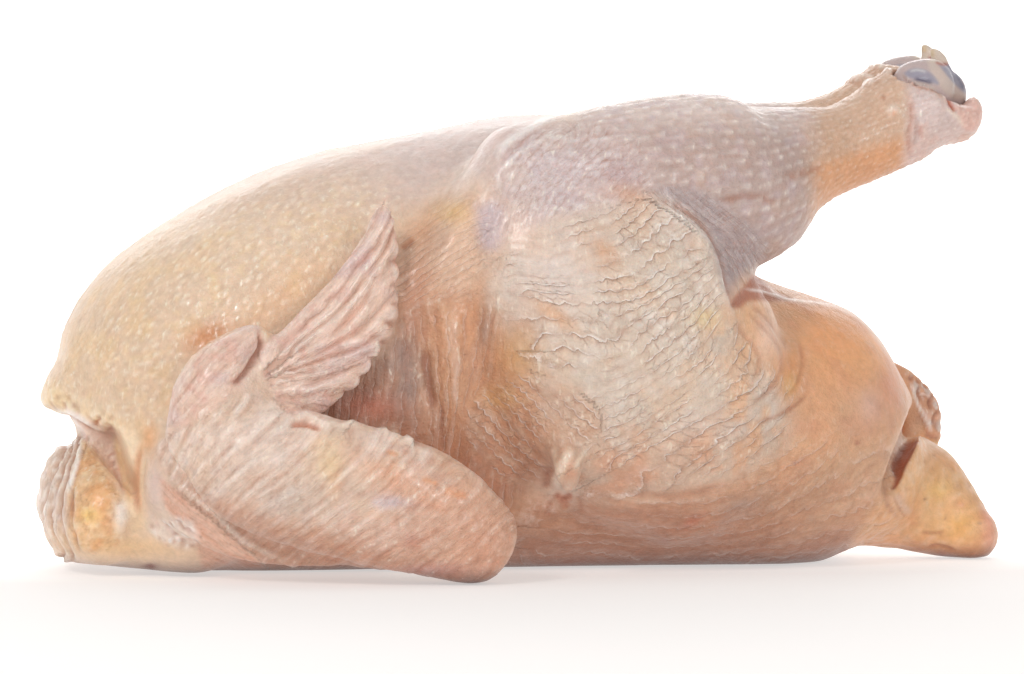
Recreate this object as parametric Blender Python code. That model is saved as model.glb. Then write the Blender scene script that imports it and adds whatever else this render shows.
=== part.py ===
"""A whole raw chicken, plucked and drawn, lying on its back with its legs stretched to the rear.

X runs along the bird from the neck to the tail, Z points up from the surface that the back rests on,
and the bird's own right side faces -Y. Every size is in millimetres until a mesh is made from it.
"""

import math

import bmesh
import bpy
import numpy as np
from mathutils import Vector

MM = 0.001

# Driving dimensions of the bird
BREAST_HEIGHT = 134.0
RIB_HALF_WIDTH = 63.0
HOCK_SPREAD = 31.0
LEFT_HOCK_LIFT = 3.0
LEFT_KNEE_DROP = 3.5
LEFT_REACH = 12.0
HOCK_CUT_START = (104.0, HOCK_SPREAD - 22.0, 156.0)
SHIN_BONE_RADIUS = 4.2
HOCK_JOINT_RADIUS = 8.6
WEB_THICKNESS = 2.6

# How finely the shells are made, fused and then thinned out
FUSE_VOXEL = 1.5
BONE_VOXEL = 0.8
SMOOTHING_ROUNDS = 7
BONE_SMOOTHING_ROUNDS = 3
NEARLY_ON_SURFACE = 0.3
FLESH_TRIANGLES = 10000
BONE_TRIANGLES = 560
RING_SIDES = 28
STEPS_BETWEEN_STATIONS = 7
CAP_RINGS = 5
BONE_CLEARANCE = 0.35

RIGHT, LEFT = -1, 1

SKIN_COLOUR = (0.80, 0.60, 0.47, 1.0)
CARTILAGE_COLOUR = (0.50, 0.48, 0.53, 1.0)


def clear_scene():
    for old in list(bpy.data.objects):
        bpy.data.objects.remove(old, do_unlink=True)


def material(name, colour, roughness):
    made = bpy.data.materials.new(name)
    made.use_nodes = True
    shader = made.node_tree.nodes["Principled BSDF"]
    shader.inputs["Base Color"].default_value = colour
    shader.inputs["Roughness"].default_value = roughness
    shader.inputs["Metallic"].default_value = 0.0
    return made


def between(stations, steps=STEPS_BETWEEN_STATIONS):
    """Rows on a smooth curve through the stations, each station a row of numbers."""
    rows = np.array(stations, float)
    ends = np.vstack([2 * rows[0] - rows[1], rows, 2 * rows[-1] - rows[-2]])
    made = []
    for i in range(1, len(ends) - 2):
        before, start, stop, after = ends[i - 1 : i + 3]
        for t in np.arange(steps) / steps:
            made.append(
                0.5
                * (
                    2 * start
                    + (stop - before) * t
                    + (2 * before - 5 * start + 4 * stop - after) * t**2
                    + (3 * start - before - 3 * stop + after) * t**3
                )
            )
    made.append(rows[-1])
    return np.array(made)


def shell(rings):
    """A closed bmesh through rings of as many points each, in millimetres, shut by a fan at both ends."""
    made = bmesh.new()
    loops = [[made.verts.new(Vector(p) * MM) for p in ring] for ring in rings]
    for first, second in zip(loops, loops[1:]):
        for i in range(len(first)):
            j = (i + 1) % len(first)
            made.faces.new((first[i], first[j], second[j], second[i]))
    for loop, order in ((loops[0], -1), (loops[-1], 1)):
        middle = made.verts.new(sum((v.co for v in loop), Vector()) / len(loop))
        for i in range(len(loop)):
            j = (i + 1) % len(loop)
            made.faces.new((loop[i], loop[j], middle)[::order])
    bmesh.ops.recalc_face_normals(made, faces=made.faces)
    return made


def limb(stations, thin_way=(0, 1, 0), bulge=1.0):
    """A rounded limb through stations of (x, y, z, half width, half thickness), thin along thin_way."""
    rows = between(stations)
    centres, sizes = rows[:, :3], rows[:, 3:]
    along = np.gradient(centres, axis=0)
    along /= np.linalg.norm(along, axis=1)[:, None]
    first_cap, last_cap = [], []
    for step in range(CAP_RINGS, 0, -1):
        turn = step * math.pi / 2 / (CAP_RINGS + 0.4)
        reach, shrink = bulge * math.sin(turn), math.cos(turn)
        first_cap.append((centres[0] - along[0] * reach * sizes[0].mean(), along[0], sizes[0] * shrink))
        last_place = centres[-1] + along[-1] * reach * sizes[-1].mean()
        last_cap.insert(0, (last_place, along[-1], sizes[-1] * shrink))
    rings = []
    for centre, tangent, (wide, thick) in [*first_cap, *zip(centres, along, sizes), *last_cap]:
        thin = np.array(thin_way, float) - tangent * np.dot(thin_way, tangent)
        thin /= np.linalg.norm(thin)
        across = np.cross(tangent, thin)
        rings.append(
            [
                centre + across * wide * math.cos(a) + thin * thick * math.sin(a)
                for a in np.arange(RING_SIDES) * 2 * math.pi / RING_SIDES
            ]
        )
    return shell(rings)


def torso():
    """The trunk, round over the breast and the belly and flattened along the back."""
    # x, lowest z, highest z, half width, and how square the upper half is
    stations = [
        (-135, 30, 70, 16, 0.95),
        (-130, 12, 79, 28, 0.95),
        (-123, 3, 88, 39, 0.92),
        (-112, 0, 97, 49, 0.90),
        (-96, -3, 107, 57, 0.88),
        (-76, -4, 117, 61, 0.88),
        (-54, -4, 124, RIB_HALF_WIDTH, 0.90),
        (-28, -4, 129, RIB_HALF_WIDTH, 0.92),
        (0, -4, BREAST_HEIGHT, 62, 0.94),
        (24, -4, BREAST_HEIGHT - 2, 61, 0.96),
        (44, -4, 118, 60, 0.96),
        (60, -4, 95, 59, 0.95),
        (76, -4, 85, 56, 0.90),
        (91, -1.5, 80, 50, 0.88),
        (103, 3.5, 75, 43, 0.90),
        (112, 6, 66, 34, 0.92),
        (119, 9, 55, 25, 0.96),
        (124, 16, 46, 15, 1.0),
    ]
    rings = []
    for x, low, high, half, square in between(stations):
        middle = low + 0.46 * (high - low)
        ring = []
        for a in np.arange(2 * RING_SIDES) * math.pi / RING_SIDES:
            c, s = math.cos(a), math.sin(a)
            y = half * math.copysign(abs(c) ** (square if s > 0 else 0.90), c)
            reach = (high - middle) if s > 0 else (middle - low)
            ring.append((x, y, middle + reach * math.copysign(abs(s) ** (0.92 if s > 0 else 0.80), s)))
        rings.append(ring)
    return shell(rings)


def placed_on(side, rows):
    """Rows of (x, y, z, ...) of a leg, put on one side. The left shank reaches further back, with its knee
    lower and its hock higher."""
    rows = np.array(rows, float)
    if side == LEFT:
        rows[:, 0] += LEFT_REACH * np.clip((rows[:, 0] - 55) / 50, 0, 1)
        lift = np.interp(rows[:, 0], (-10, 12, 40, 80), (0, -LEFT_KNEE_DROP, -LEFT_KNEE_DROP, LEFT_HOCK_LIFT))
        rows[:, 2] += lift * np.clip((rows[:, 2] - 50) / 40, 0, 1)
    rows[:, 1] *= side
    return rows


def leg(side):
    """The thigh, the drumstick from the knee to the hock, and the loose skin before and behind the thigh."""
    thigh = [
        (-12, 46, 104, 24, 20),
        (2, 52, 92, 36, 25),
        (20, 54, 68, 45, 28),
        (37, 49, 47, 42, 28),
        (50, 42, 32, 30, 24),
    ]
    shank = [
        (-6, 47, 106, 25, 20),
        (18, 50, 109, 26.5, 23),
        (38, 49, 111.5, 28, 24),
        (54, 46, 113, 27, 23),
        (64, 43, 114.5, 24, 21),
        (73, 40, 118.5, 19, 17),
        (82, 38, 121.5, 15.2, 14.5),
        (92, 35.5, 124, 13.0, 12.5),
        (103, 34, 128.5, 13.4, 12.5),
        (112, HOCK_SPREAD + 1, 133.5, 14.6, 13.5),
        (121, HOCK_SPREAD, 136, 14.0, 14.0),
        (130, HOCK_SPREAD, 133.5, 8.6, 11),
    ]
    flank = [(-14, 50, 112, 10, 8), (-30, 54, 84, 10, 9), (-32, 55, 52, 10, 9), (-30, 50, 22, 9, 9)]
    haunch = [(52, 40, 72, 16, 14), (60, 44, 50, 18, 17), (56, 42, 26, 18, 16)]
    return [limb(placed_on(side, stations), bulge=0.7) for stations in (thigh, shank, flank, haunch)]


def hock_cut(side):
    """The slab above the slanting cut through the hock, to be taken off the end of the shank."""
    along, across, up = np.array([27.0, 0, -16.4]), np.array([0, 44.0, -7.0]), np.array([14.0, -6.0, 24.0])
    low = np.array(HOCK_CUT_START)
    rings = []
    for level in (low, low + up):
        rings.append(placed_on(side, [level, level + along, level + along + across, level + across]))
    return shell(rings)


def shin_bone(side):
    """The bone of the drumstick: a shaft, two rounded knuckles at the hock, and a stub of tendon on them."""
    # x, y, z, and how much thicker than its middle the shaft is there
    knee_end = [(-2, 47, 107, 2.4), (10, 47, 109, 0.6), (40, 44, 114, 0)]
    hock_end = [(75, 39, 122, 0), (98, 35, 131, 0.6), (112, 33, 139, 2.2)]
    shaft = []
    for x, y, z, more in knee_end + hock_end:
        shaft.append((x, y, z, SHIN_BONE_RADIUS + more, SHIN_BONE_RADIUS + more))
    outer = [(115, 35.5, 141.5, HOCK_JOINT_RADIUS, 6.2), (120.5, 34.5, 142.5, HOCK_JOINT_RADIUS, 6.2)]
    inner = [(120, 27, 140.5, HOCK_JOINT_RADIUS - 1, 6), (127, 26, 140, HOCK_JOINT_RADIUS - 1, 6)]
    tendon = [(124.5, 29, 144, 3.6, 1.9), (125, 28.5, 149, 3.2, 1.6), (122.5, 28, 153.2, 1.7, 1.3)]
    return [limb(placed_on(side, stations)) for stations in (shaft, outer, inner, tendon)]


def tail():
    """The fleshy tail, which droops behind the belly until its tip touches the surface."""
    stations = [
        (98, 0, 23, 20, 25),
        (113, 0, 21.5, 18.5, 22),
        (123, -1, 19, 17.8, 19),
        (130, -3, 14.4, 15.2, 15.5),
        (136.5, -6, 9.6, 11.4, 12.5),
        (142.5, -9, 5.0, 8.0, 9.5),
    ]
    return limb(stations, thin_way=(0, 1, 0), bulge=0.6)


def fin(leading, trailing, thick_lead, thick_trail, teeth, tooth_depth):
    """A flat webbed limb between two edges, thick at the leading one and toothed by quills at the other."""
    steps = 2 * STEPS_BETWEEN_STATIONS
    lead, trail = between(leading, steps), between(trailing, steps)
    count = min(len(lead), len(trail))
    rings = []
    for i in range(count):
        t = i / (count - 1)
        front = lead[round(t * (len(lead) - 1))]
        back = trail[round(t * (len(trail) - 1))]
        chord = back - front
        tooth = 1 - abs(2 * ((t * teeth) % 1) - 1)
        back = back + chord / np.linalg.norm(chord) * tooth_depth * (tooth - 0.5)
        thin = np.array([0, 1, 0], float) - chord * chord[1] / np.dot(chord, chord)
        thin /= np.linalg.norm(thin)
        end_taper = math.sqrt(max(0.04, 1 - max(0.0, (t - 0.8) / 0.2) ** 2))
        ring = []
        for a in np.arange(RING_SIDES) * 2 * math.pi / RING_SIDES:
            share = 0.5 - 0.5 * math.cos(a)
            half = (thick_lead * (1 - share) ** 0.7 + thick_trail * share) * end_taper
            half += 0.35 * share * (tooth - 0.5)
            ring.append(front + (back - front) * share + thin * half * math.sin(a))
        rings.append(ring)
    return shell(rings)


def right_wing():
    """The wing nearer to the viewer: its elbow lies on the surface and its tip points up along the ribs."""
    shoulder_end = [(-100, -42, 27, 19, 15), (-76, -58, 22, 16, 13)]
    upper_arm = shoulder_end + [(-50, -71, 17, 14, 12), (-31, -79, 14, 12, 11)]
    forearm = [
        (-25, -83, 12.5, 14, 12),
        (-41, -84.5, 20.5, 18.5, 12.5),
        (-60, -84, 26, 19.5, 12.5),
        (-75, -81, 30, 19.5, 12),
        (-88, -78, 36, 19, 11.5),
        (-97, -75, 44, 15.5, 10.5),
    ]
    wrist = [(-99, -74, 42, 14, 10), (-97, -73, 56, 12, 8.5), (-87, -71, 66, 8.5, 6)]
    thumb = [(-103, -78, 52, 7, 5), (-95, -78.5, 61.5, 6.6, 4.2), (-87, -75, 70.5, 4.0, 2.8)]
    leading = [(-99, -72, 50), (-84, -71, 67), (-70, -68, 81.5), (-57.5, -64, 95), (-49, -61, 110)]
    trailing = [
        (-72, -71, 44),
        (-62, -70, 49),
        (-52, -68, 58),
        (-46.5, -66, 69),
        (-43.5, -64, 80),
        (-42.5, -62, 94),
        (-45, -61, 107),
    ]
    web = [(-106, -54, 30, 13, 8), (-90, -64, 20, 14, 7), (-66, -72, 13, 10, 6)]
    return [
        limb(upper_arm),
        limb(forearm, bulge=0.9),
        limb(wrist),
        limb(thumb, bulge=1.3),
        fin(leading, trailing, 4.6, WEB_THICKNESS / 2, teeth=11, tooth_depth=2.4),
        limb(web),
    ]


def left_wing():
    """The far wing, folded lower and further forward, so that its wrist shows past the neck."""
    upper_arm = [(-104, 42, 24, 19, 15), (-84, 58, 20, 16, 13), (-64, 71, 16, 13, 12), (-50, 78, 13, 12, 11)]
    forearm = [
        (-44, 82, 12.5, 12, 11),
        (-62, 83, 14.5, 14.5, 12.5),
        (-84, 81, 17.5, 17, 12.5),
        (-106, 76, 18, 17.5, 13),
        (-120, 70, 17.5, 16.5, 13),
    ]
    wrist = [(-122, 68, 17, 14, 12), (-121, 66, 22, 11, 9), (-112, 64, 32, 8, 7)]
    thumb = [(-128, 73, 20, 6, 5), (-124, 74, 26, 6, 4.2), (-116, 73, 32, 4.0, 2.8)]
    leading = [(-121, 68, 24), (-108, 68, 41), (-95, 67, 55), (-82, 64, 68), (-72, 62, 80)]
    trailing = [(-96, 71, 19), (-84, 70, 28), (-75, 69, 40), (-69, 67, 53), (-66, 65, 66), (-67, 63, 78)]
    return [
        limb(upper_arm),
        limb(forearm, bulge=0.9),
        limb(wrist),
        limb(thumb, bulge=1.3),
        fin(leading, trailing, 4.6, WEB_THICKNESS / 2, teeth=11, tooth_depth=2.4),
    ]


def neck_end():
    """What stands round the neck opening: the torn breast skin, a strap of skin, and the fat below."""
    flap = [(-130, 4, 55, 6, 12), (-124, 2, 64, 11, 22), (-114, 0, 74, 14, 30)]
    peak = [(-137.5, 0, 50, 4, 15), (-133.5, 0, 55, 6, 20), (-126, 0, 60, 8, 24)]
    strap = [(-118, -36, 54, 7, 6), (-119, -38, 38, 5, 5), (-117, -40, 20, 8, 7)]
    fat = [(-126, -34, 16, 14, 12), (-131.5, -14, 20, 18.5, 11.5), (-130, 11, 19, 17, 11.5)]
    near_root = [(-100, -36, 17, 17, 20), (-118, -20, 16, 15, 16)]
    neck_root = near_root + [(-127, 4, 15, 14, 14), (-118, 28, 16, 15, 16)]
    upright = [limb(stations, bulge=0.5) for stations in (flap, peak, strap)]
    lying = [limb(stations, thin_way=(1, 0, 0)) for stations in (fat, neck_root)]
    return upright + lying


def prism(outline, ends):
    """A solid along Y with one outline of (x, z), at each y of ends scaled about its middle."""
    rows = np.array(outline, float)
    middle = rows.mean(axis=0)
    rings = []
    for y, scale in ends:
        rings.append([(x, y, z) for x, z in middle + (rows - middle) * scale])
    return shell(rings)


def hollows():
    """What is cut away: the neck opening's gap and its window beside the fat, and the slit by the tail."""
    gap = [(-154, -5, 41.5, 6.5, 40), (-138, -8, 41.3, 5.8, 40), (-132, -9, 39.3, 3.4, 40)]
    gap += [(-128, -9.6, 37.8, 1.0, 40)]
    window = [(-137, 45.5), (-129, 45), (-121.5, 42.5), (-118.5, 32), (-115.5, 18), (-123.5, 29), (-131, 38)]
    window_ends = ((-66, 1.0), (-32, 1.0), (-24, 0.92))
    right_slit = [(105, -42, 19, 2.6, 1.8), (109, -35, 28, 7, 3.2), (115, -23, 37, 8, 3.6)]
    slit = right_slit + [(124, 0, 42, 7, 3), (122, 22, 36, 5, 2)]
    return [
        limb(gap, bulge=0.6),
        prism(window, window_ends),
        limb(slit, thin_way=(0.94, 0, -0.34), bulge=0.8),
    ]


def far_lip():
    """The ragged edge of belly skin that stands up on the far side of the slit."""
    lip = [(104, 15, 54, 7, 5), (119, 18, 52, 8.5, 4), (128, 20, 46.5, 8.5, 4), (131, 20, 40, 8, 4)]
    lip += [(131, 19, 32, 7, 4)]
    return limb(lip, bulge=0.8)


def tufts():
    """A nub of gathered skin low on each thigh, where the web of the flank ends."""
    nub = [(3, 68, 41, 4.6, 5), (3.5, 73.5, 35.5, 4.0, 4.4), (3.5, 75.5, 30, 3.4, 3.8), (3, 76, 26, 3.2, 3.2)]
    return [limb(placed_on(side, nub), thin_way=(1, 0, 0)) for side in (RIGHT, LEFT)]


def as_object(name, pieces):
    """One object holding all the pieces as one mesh."""
    mesh = bpy.data.meshes.new(name)
    joined = bmesh.new()
    for piece in pieces:
        piece.to_mesh(mesh)
        joined.from_mesh(mesh)
        piece.free()
    joined.to_mesh(mesh)
    joined.free()
    made = bpy.data.objects.new(name, mesh)
    bpy.context.scene.collection.objects.link(made)
    return made


def settle(obj):
    """Replaces the object's mesh by what its modifiers make of it, and drops them."""
    bpy.context.view_layer.update()
    graph = bpy.context.evaluated_depsgraph_get()
    settled = bpy.data.meshes.new_from_object(obj.evaluated_get(graph))
    obj.modifiers.clear()
    old, obj.data = obj.data, settled
    bpy.data.meshes.remove(old)


def ease_off(obj, rounds):
    """Smooths the surface, which softens where two shapes meet."""
    ease = obj.modifiers.new("ease", "SMOOTH")
    ease.factor = 0.5
    ease.iterations = rounds
    settle(obj)


def fuse(obj, voxel, rounds):
    """Makes one closed skin of overlapping shells and smooths it."""
    remesh = obj.modifiers.new("fuse", "REMESH")
    remesh.mode = "VOXEL"
    remesh.voxel_size = voxel * MM
    ease_off(obj, rounds)


def cut_away(obj, cutter):
    """Takes the cutter's shape out of the object, and drops the cutter."""
    cutter.hide_render = True
    cutter.display_type = "WIRE"
    cut = obj.modifiers.new("cut", "BOOLEAN")
    cut.operation = "DIFFERENCE"
    cut.solver = "EXACT"
    cut.object = cutter
    settle(obj)
    bpy.data.objects.remove(cutter, do_unlink=True)


def thin_out(obj, triangles):
    """Fewer triangles, kept where the form is fine."""
    sorter = bmesh.new()
    sorter.from_mesh(obj.data)
    bmesh.ops.triangulate(sorter, faces=sorter.faces)
    sorter.to_mesh(obj.data)
    sorter.free()
    fewer = obj.modifiers.new("fewer", "DECIMATE")
    fewer.ratio = min(1.0, triangles / len(obj.data.polygons))
    fewer.use_collapse_triangulate = True
    settle(obj)


def points_of(obj):
    co = np.empty(len(obj.data.vertices) * 3, np.float32)
    obj.data.vertices.foreach_get("co", co)
    return co.reshape(-1, 3).astype(float) / MM


def set_points(obj, points):
    obj.data.vertices.foreach_set("co", (points * MM).astype(np.float32).ravel())
    obj.data.update()


def normals_of(obj):
    found = np.empty(len(obj.data.vertices) * 3, np.float32)
    obj.data.vertex_normals.foreach_get("vector", found)
    return found.reshape(-1, 3).astype(float)


def reach_to_line(flat_points, line):
    """Each flat point's distance to a polyline, and how far along it the nearest place is, from 0 to 1."""
    best = np.full(len(flat_points), 1e9)
    along = np.zeros(len(flat_points))
    for i, (start, stop) in enumerate(zip(line, line[1:])):
        way = stop - start
        t = np.clip(((flat_points - start) @ way) / (way @ way), 0, 1)
        away = np.linalg.norm(flat_points - start - t[:, None] * way, axis=1)
        nearer = away < best
        best[nearer] = away[nearer]
        along[nearer] = (i + t[nearer]) / (len(line) - 1)
    return best, along


# Folds and creases in the skin, each with its side, a line of (x, z), its half width and its height
BOTH = 0
FOLDS = (
    ("knee to breast", BOTH, [(0, 132), (-14, 122), (-24, 108), (-30, 92), (-31, 78)], 5.0, 2.0),
    ("beside the knee", BOTH, [(-24, 124), (-36, 104), (-40, 88)], 5.0, -1.8),
    ("flank fold", BOTH, [(-30, 84), (-27, 62), (-24, 44), (-22, 32)], 5.5, 2.6),
    ("flank hollow", BOTH, [(-37, 82), (-36, 62), (-34, 42)], 4.0, -2.6),
    ("thigh over shank", BOTH, [(26, 108), (40, 101), (46, 86), (52, 74)], 4.5, 2.0),
    ("beside the shank", BOTH, [(32, 114), (47, 104), (54, 88), (60, 76)], 4.5, -2.4),
    ("crotch crease", BOTH, [(58, 78), (57, 66), (62, 52)], 5.0, -2.4),
    ("belly fold", BOTH, [(70, 74), (72, 58), (70, 40)], 6.0, 1.2),
    ("low crease", BOTH, [(-14, 30), (4, 25), (20, 26), (40, 20)], 4.5, -1.8),
    ("thumb groove", RIGHT, [(-93, 57), (-88, 62), (-83, 69)], 2.6, -2.6),
    ("first quill", RIGHT, [(-78, 58), (-66, 76), (-54, 92)], 2.6, -0.9),
    ("arm groove", RIGHT, [(-78, 50), (-88, 52), (-95, 58)], 3.0, -1.2),
)
FOLDS_START_FROM_MIDDLE = 30.0
FOLDS_FULL_FROM_MIDDLE = 38.0


def press_folds(obj):
    """Raises folds and presses creases into the flanks."""
    points, normals = points_of(obj), normals_of(obj)
    for _, side, line, width, height in FOLDS:
        away, along = reach_to_line(points[:, [0, 2]], between(line))
        fade = np.clip(4 * np.minimum(along, 1 - along), 0.15, 1)
        outward = np.sign(points[:, 1]) if side == BOTH else side
        outside = np.interp(outward * points[:, 1], (FOLDS_START_FROM_MIDDLE, FOLDS_FULL_FROM_MIDDLE), (0, 1))
        facing = np.clip(3 * normals[:, 1] * outward, 0, 1)
        points[:, 1] += outward * height * fade * outside * facing * np.exp(-((away / width) ** 2))
    set_points(obj, points)


def lay_on_surface(obj, below=0.0):
    """Flattens what lies lower than that onto the surface under the bird."""
    points = points_of(obj)
    points[points[:, 2] < below, 2] = 0.0
    set_points(obj, points)


def finish(obj, surface):
    obj.data.materials.clear()
    obj.data.materials.append(surface)
    obj.data.shade_smooth()


def make_bone(name, side, cartilage):
    bone = as_object(name, shin_bone(side))
    fuse(bone, BONE_VOXEL, BONE_SMOOTHING_ROUNDS)
    thin_out(bone, BONE_TRIANGLES)
    finish(bone, cartilage)
    return bone


def swollen(bone):
    """A copy of the bone, larger all round by the gap that the flesh leaves about it."""
    cutter = bpy.data.objects.new("cutter", bone.data.copy())
    bpy.context.scene.collection.objects.link(cutter)
    set_points(cutter, points_of(bone) + BONE_CLEARANCE * normals_of(bone))
    return cutter


def make_flesh():
    """The whole bird's flesh and skin, which is one piece."""
    pieces = [torso(), tail(), far_lip()]
    pieces += leg(RIGHT) + leg(LEFT)
    pieces += right_wing() + left_wing() + neck_end() + tufts()
    flesh = as_object("chicken", pieces)
    fuse(flesh, FUSE_VOXEL, 2)
    for cutter in [*hollows(), hock_cut(RIGHT), hock_cut(LEFT)]:
        cut_away(flesh, as_object("cutter", [cutter]))
    fuse(flesh, FUSE_VOXEL, SMOOTHING_ROUNDS)
    press_folds(flesh)
    ease_off(flesh, 2)
    lay_on_surface(flesh)
    thin_out(flesh, FLESH_TRIANGLES)
    lay_on_surface(flesh, below=NEARLY_ON_SURFACE)
    return flesh


def main():
    clear_scene()
    skin = material("raw_skin", SKIN_COLOUR, 0.45)
    cartilage = material("cartilage", CARTILAGE_COLOUR, 0.30)
    flesh = make_flesh()
    for name, side in (("right_shin_bone", RIGHT), ("left_shin_bone", LEFT)):
        bone = make_bone(name, side, cartilage)
        cut_away(flesh, swollen(bone))
    finish(flesh, skin)


main()
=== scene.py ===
# A whole raw chicken, plucked and drawn, lying on its back with its legs stretched to the rear.
# It is built up as the bird is seen: the place it lies in, its skin, and the cut ends of its shin bones.

import math

import bpy
import numpy as np
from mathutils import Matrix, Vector


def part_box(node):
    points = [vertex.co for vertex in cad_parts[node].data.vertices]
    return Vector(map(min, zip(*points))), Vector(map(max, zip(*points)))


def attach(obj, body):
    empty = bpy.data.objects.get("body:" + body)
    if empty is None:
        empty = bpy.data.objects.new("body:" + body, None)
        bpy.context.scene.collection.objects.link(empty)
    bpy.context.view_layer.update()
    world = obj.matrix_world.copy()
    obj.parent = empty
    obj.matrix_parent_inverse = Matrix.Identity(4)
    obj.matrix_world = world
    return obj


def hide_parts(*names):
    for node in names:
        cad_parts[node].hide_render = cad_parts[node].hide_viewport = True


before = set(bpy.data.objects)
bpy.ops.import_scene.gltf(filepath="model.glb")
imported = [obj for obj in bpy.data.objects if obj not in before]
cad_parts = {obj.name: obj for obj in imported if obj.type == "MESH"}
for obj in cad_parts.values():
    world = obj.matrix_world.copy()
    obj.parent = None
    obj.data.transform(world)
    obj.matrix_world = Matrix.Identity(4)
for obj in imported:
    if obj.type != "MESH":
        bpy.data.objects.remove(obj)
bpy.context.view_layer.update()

# The camera
# A long lens looks nearly level at the bird's right side, turned a little towards its neck.
# The same lens gives each place on the skin its picture point, where folds and stains are laid out,
# and painted highlights and shade too.
MM = 0.001
PICTURE_WIDTH, PICTURE_HEIGHT = 1024, 674
FOCAL_LENGTH_PX = 5000.0
SENSOR_WIDTH = 36.0
CAMERA_TURN, CAMERA_RISE = math.radians(-10), math.radians(1.5)
CAMERA_DISTANCE = 1500.0
CAMERA_AIM = np.array([0.0, 0.0, 67.5])

camera_back = np.array(
    [
        math.sin(CAMERA_TURN) * math.cos(CAMERA_RISE),
        -math.cos(CAMERA_TURN) * math.cos(CAMERA_RISE),
        math.sin(CAMERA_RISE),
    ]
)
camera_right = np.array([math.cos(CAMERA_TURN), math.sin(CAMERA_TURN), 0.0])
camera_up = np.cross(camera_back, camera_right)


def picture_points(places):
    """Where places, in millimetres, fall in the picture, in pixels from its upper left corner."""
    aside = places - CAMERA_AIM
    scale = FOCAL_LENGTH_PX / (CAMERA_DISTANCE - aside @ camera_back)
    return PICTURE_WIDTH / 2 + aside @ camera_right * scale, PICTURE_HEIGHT / 2 - aside @ camera_up * scale


lens = bpy.data.cameras.new("camera")
lens.sensor_width = SENSOR_WIDTH
lens.lens = FOCAL_LENGTH_PX * SENSOR_WIDTH / PICTURE_WIDTH
lens.clip_start, lens.clip_end = 0.05, 20.0
camera = bpy.data.objects.new("camera", lens)
camera.location = Vector((CAMERA_AIM + camera_back * CAMERA_DISTANCE) * MM)
camera.rotation_euler = Vector(-camera_back).to_track_quat("-Z", "Y").to_euler()
bpy.context.scene.collection.objects.link(camera)
bpy.context.scene.camera = camera

# The table top and the light
# A white sheet of board runs level under the bird and sweeps up behind it, so that no edge shows.
# It glows a little, as a table lit from below does. One soft lamp hangs over the bird, and two
# stand before it, and one behind it lights its upper edge.
FLOOR_HALF = 6.0
BEND_START, BEND_RADIUS, BACK_TOP = 3.5, 0.8, 5.0
FLOOR_COLOUR = (0.50, 0.475, 0.46, 1.0)
FLOOR_GLOW, BACK_GLOW = 0.47, 1.15
# How far before the bird's middle the glow starts to rise, and how steeply it does, in metres
GLOW_LEAD, GLOW_RISE = 0.06, 4.0
FLOOR_DROP = 0.0002
SKY_STRENGTH = 0.46
LAMPS = (
    # name, place, where it points, width and height, and power in watts
    ("overhead", (0.1, 0.3, 1.3), (0.0, 0.0, 0.05), (1.2, 0.8), 2.0),
    ("behind", (0.1, 1.3, 0.75), (0.0, 0.0, 0.1), (1.4, 0.5), 4.3),
    ("before_the_breast", (-0.9, -1.1, 0.9), (-0.03, 0.0, 0.07), (0.35, 0.35), 9.0),
    ("before_the_belly", (0.7, -1.5, 0.6), (0.05, 0.0, 0.05), (0.35, 0.35), 5.5),
)


class Wire:
    """An output in a material's tree. A sum written on it adds its Math nodes to the tree."""

    def __init__(self, tree, socket=None):
        self.tree = tree
        self.socket = socket

    def node(self, kind, settings=None, sockets=None, out=0):
        """A node of that kind, with its settings made first and then its sockets filled or linked."""
        made = self.tree.nodes.new(kind)
        for name, value in (settings or {}).items():
            setattr(made, name, value)
        fill(made, sockets or {})
        return Wire(self.tree, made.outputs[out])

    def sum_of(self, operation, first, second=0.0):
        return self.node("ShaderNodeMath", {"operation": operation}, {0: first, 1: second})

    def __add__(self, other):
        return self.sum_of("ADD", self, other)

    def __sub__(self, other):
        return self.sum_of("SUBTRACT", self, other)

    def __mul__(self, other):
        return self.sum_of("MULTIPLY", self, other)

    def __rsub__(self, other):
        return self.sum_of("SUBTRACT", other, self)

    __radd__ = __add__
    __rmul__ = __mul__

    def clipped(self):
        made = self.sum_of("ADD", self)
        made.socket.node.use_clamp = True
        return made

    def mixed(self, first, second):
        """The first colour where this wire is 0 and the second where it is 1."""
        sockets = {0: self, 6: first, 7: second}
        return self.node("ShaderNodeMix", {"data_type": "RGBA"}, sockets, out=2)


def new_material(name):
    """A material with only its shader in its tree, and a wire to build the rest of the tree with."""
    made = bpy.data.materials.new(name)
    made.use_nodes = True
    shader = made.node_tree.nodes["Principled BSDF"]
    return made, shader, Wire(made.node_tree)


def fill(node, sockets):
    """Sets the node's sockets, or links them where a wire is given."""
    for name, value in sockets.items():
        if isinstance(value, Wire):
            value.tree.links.new(value.socket, node.inputs[name])
        else:
            node.inputs[name].default_value = value


board, board_shader, wire = new_material("white_board")
grain = wire.node("ShaderNodeTexNoise", None, {"Scale": 9.0, "Detail": 2.0})
ground = wire.node("ShaderNodeTexCoord", out=3)
ground = wire.node("ShaderNodeSeparateXYZ", None, {"Vector": ground}, out=1)
glow = ((ground + GLOW_LEAD) * GLOW_RISE).clipped() * (BACK_GLOW - FLOOR_GLOW) + FLOOR_GLOW
fill(
    board_shader,
    {
        "Base Color": grain.mixed(FLOOR_COLOUR, tuple(0.985 * c for c in FLOOR_COLOUR[:3]) + (1.0,)),
        "Roughness": 0.7,
        "Specular IOR Level": 0.1,
        "Emission Color": (1.0, 0.985, 0.975, 1.0),
        "Emission Strength": glow,
    },
)
sweep = [(-FLOOR_HALF, 0.0), (BEND_START, 0.0)]
for angle in np.linspace(0.1, math.pi / 2, 12):
    rise = BEND_RADIUS - BEND_RADIUS * math.cos(angle)
    sweep.append((BEND_START + BEND_RADIUS * math.sin(angle), rise))
sweep.append((BEND_START + BEND_RADIUS, BACK_TOP))
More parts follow.
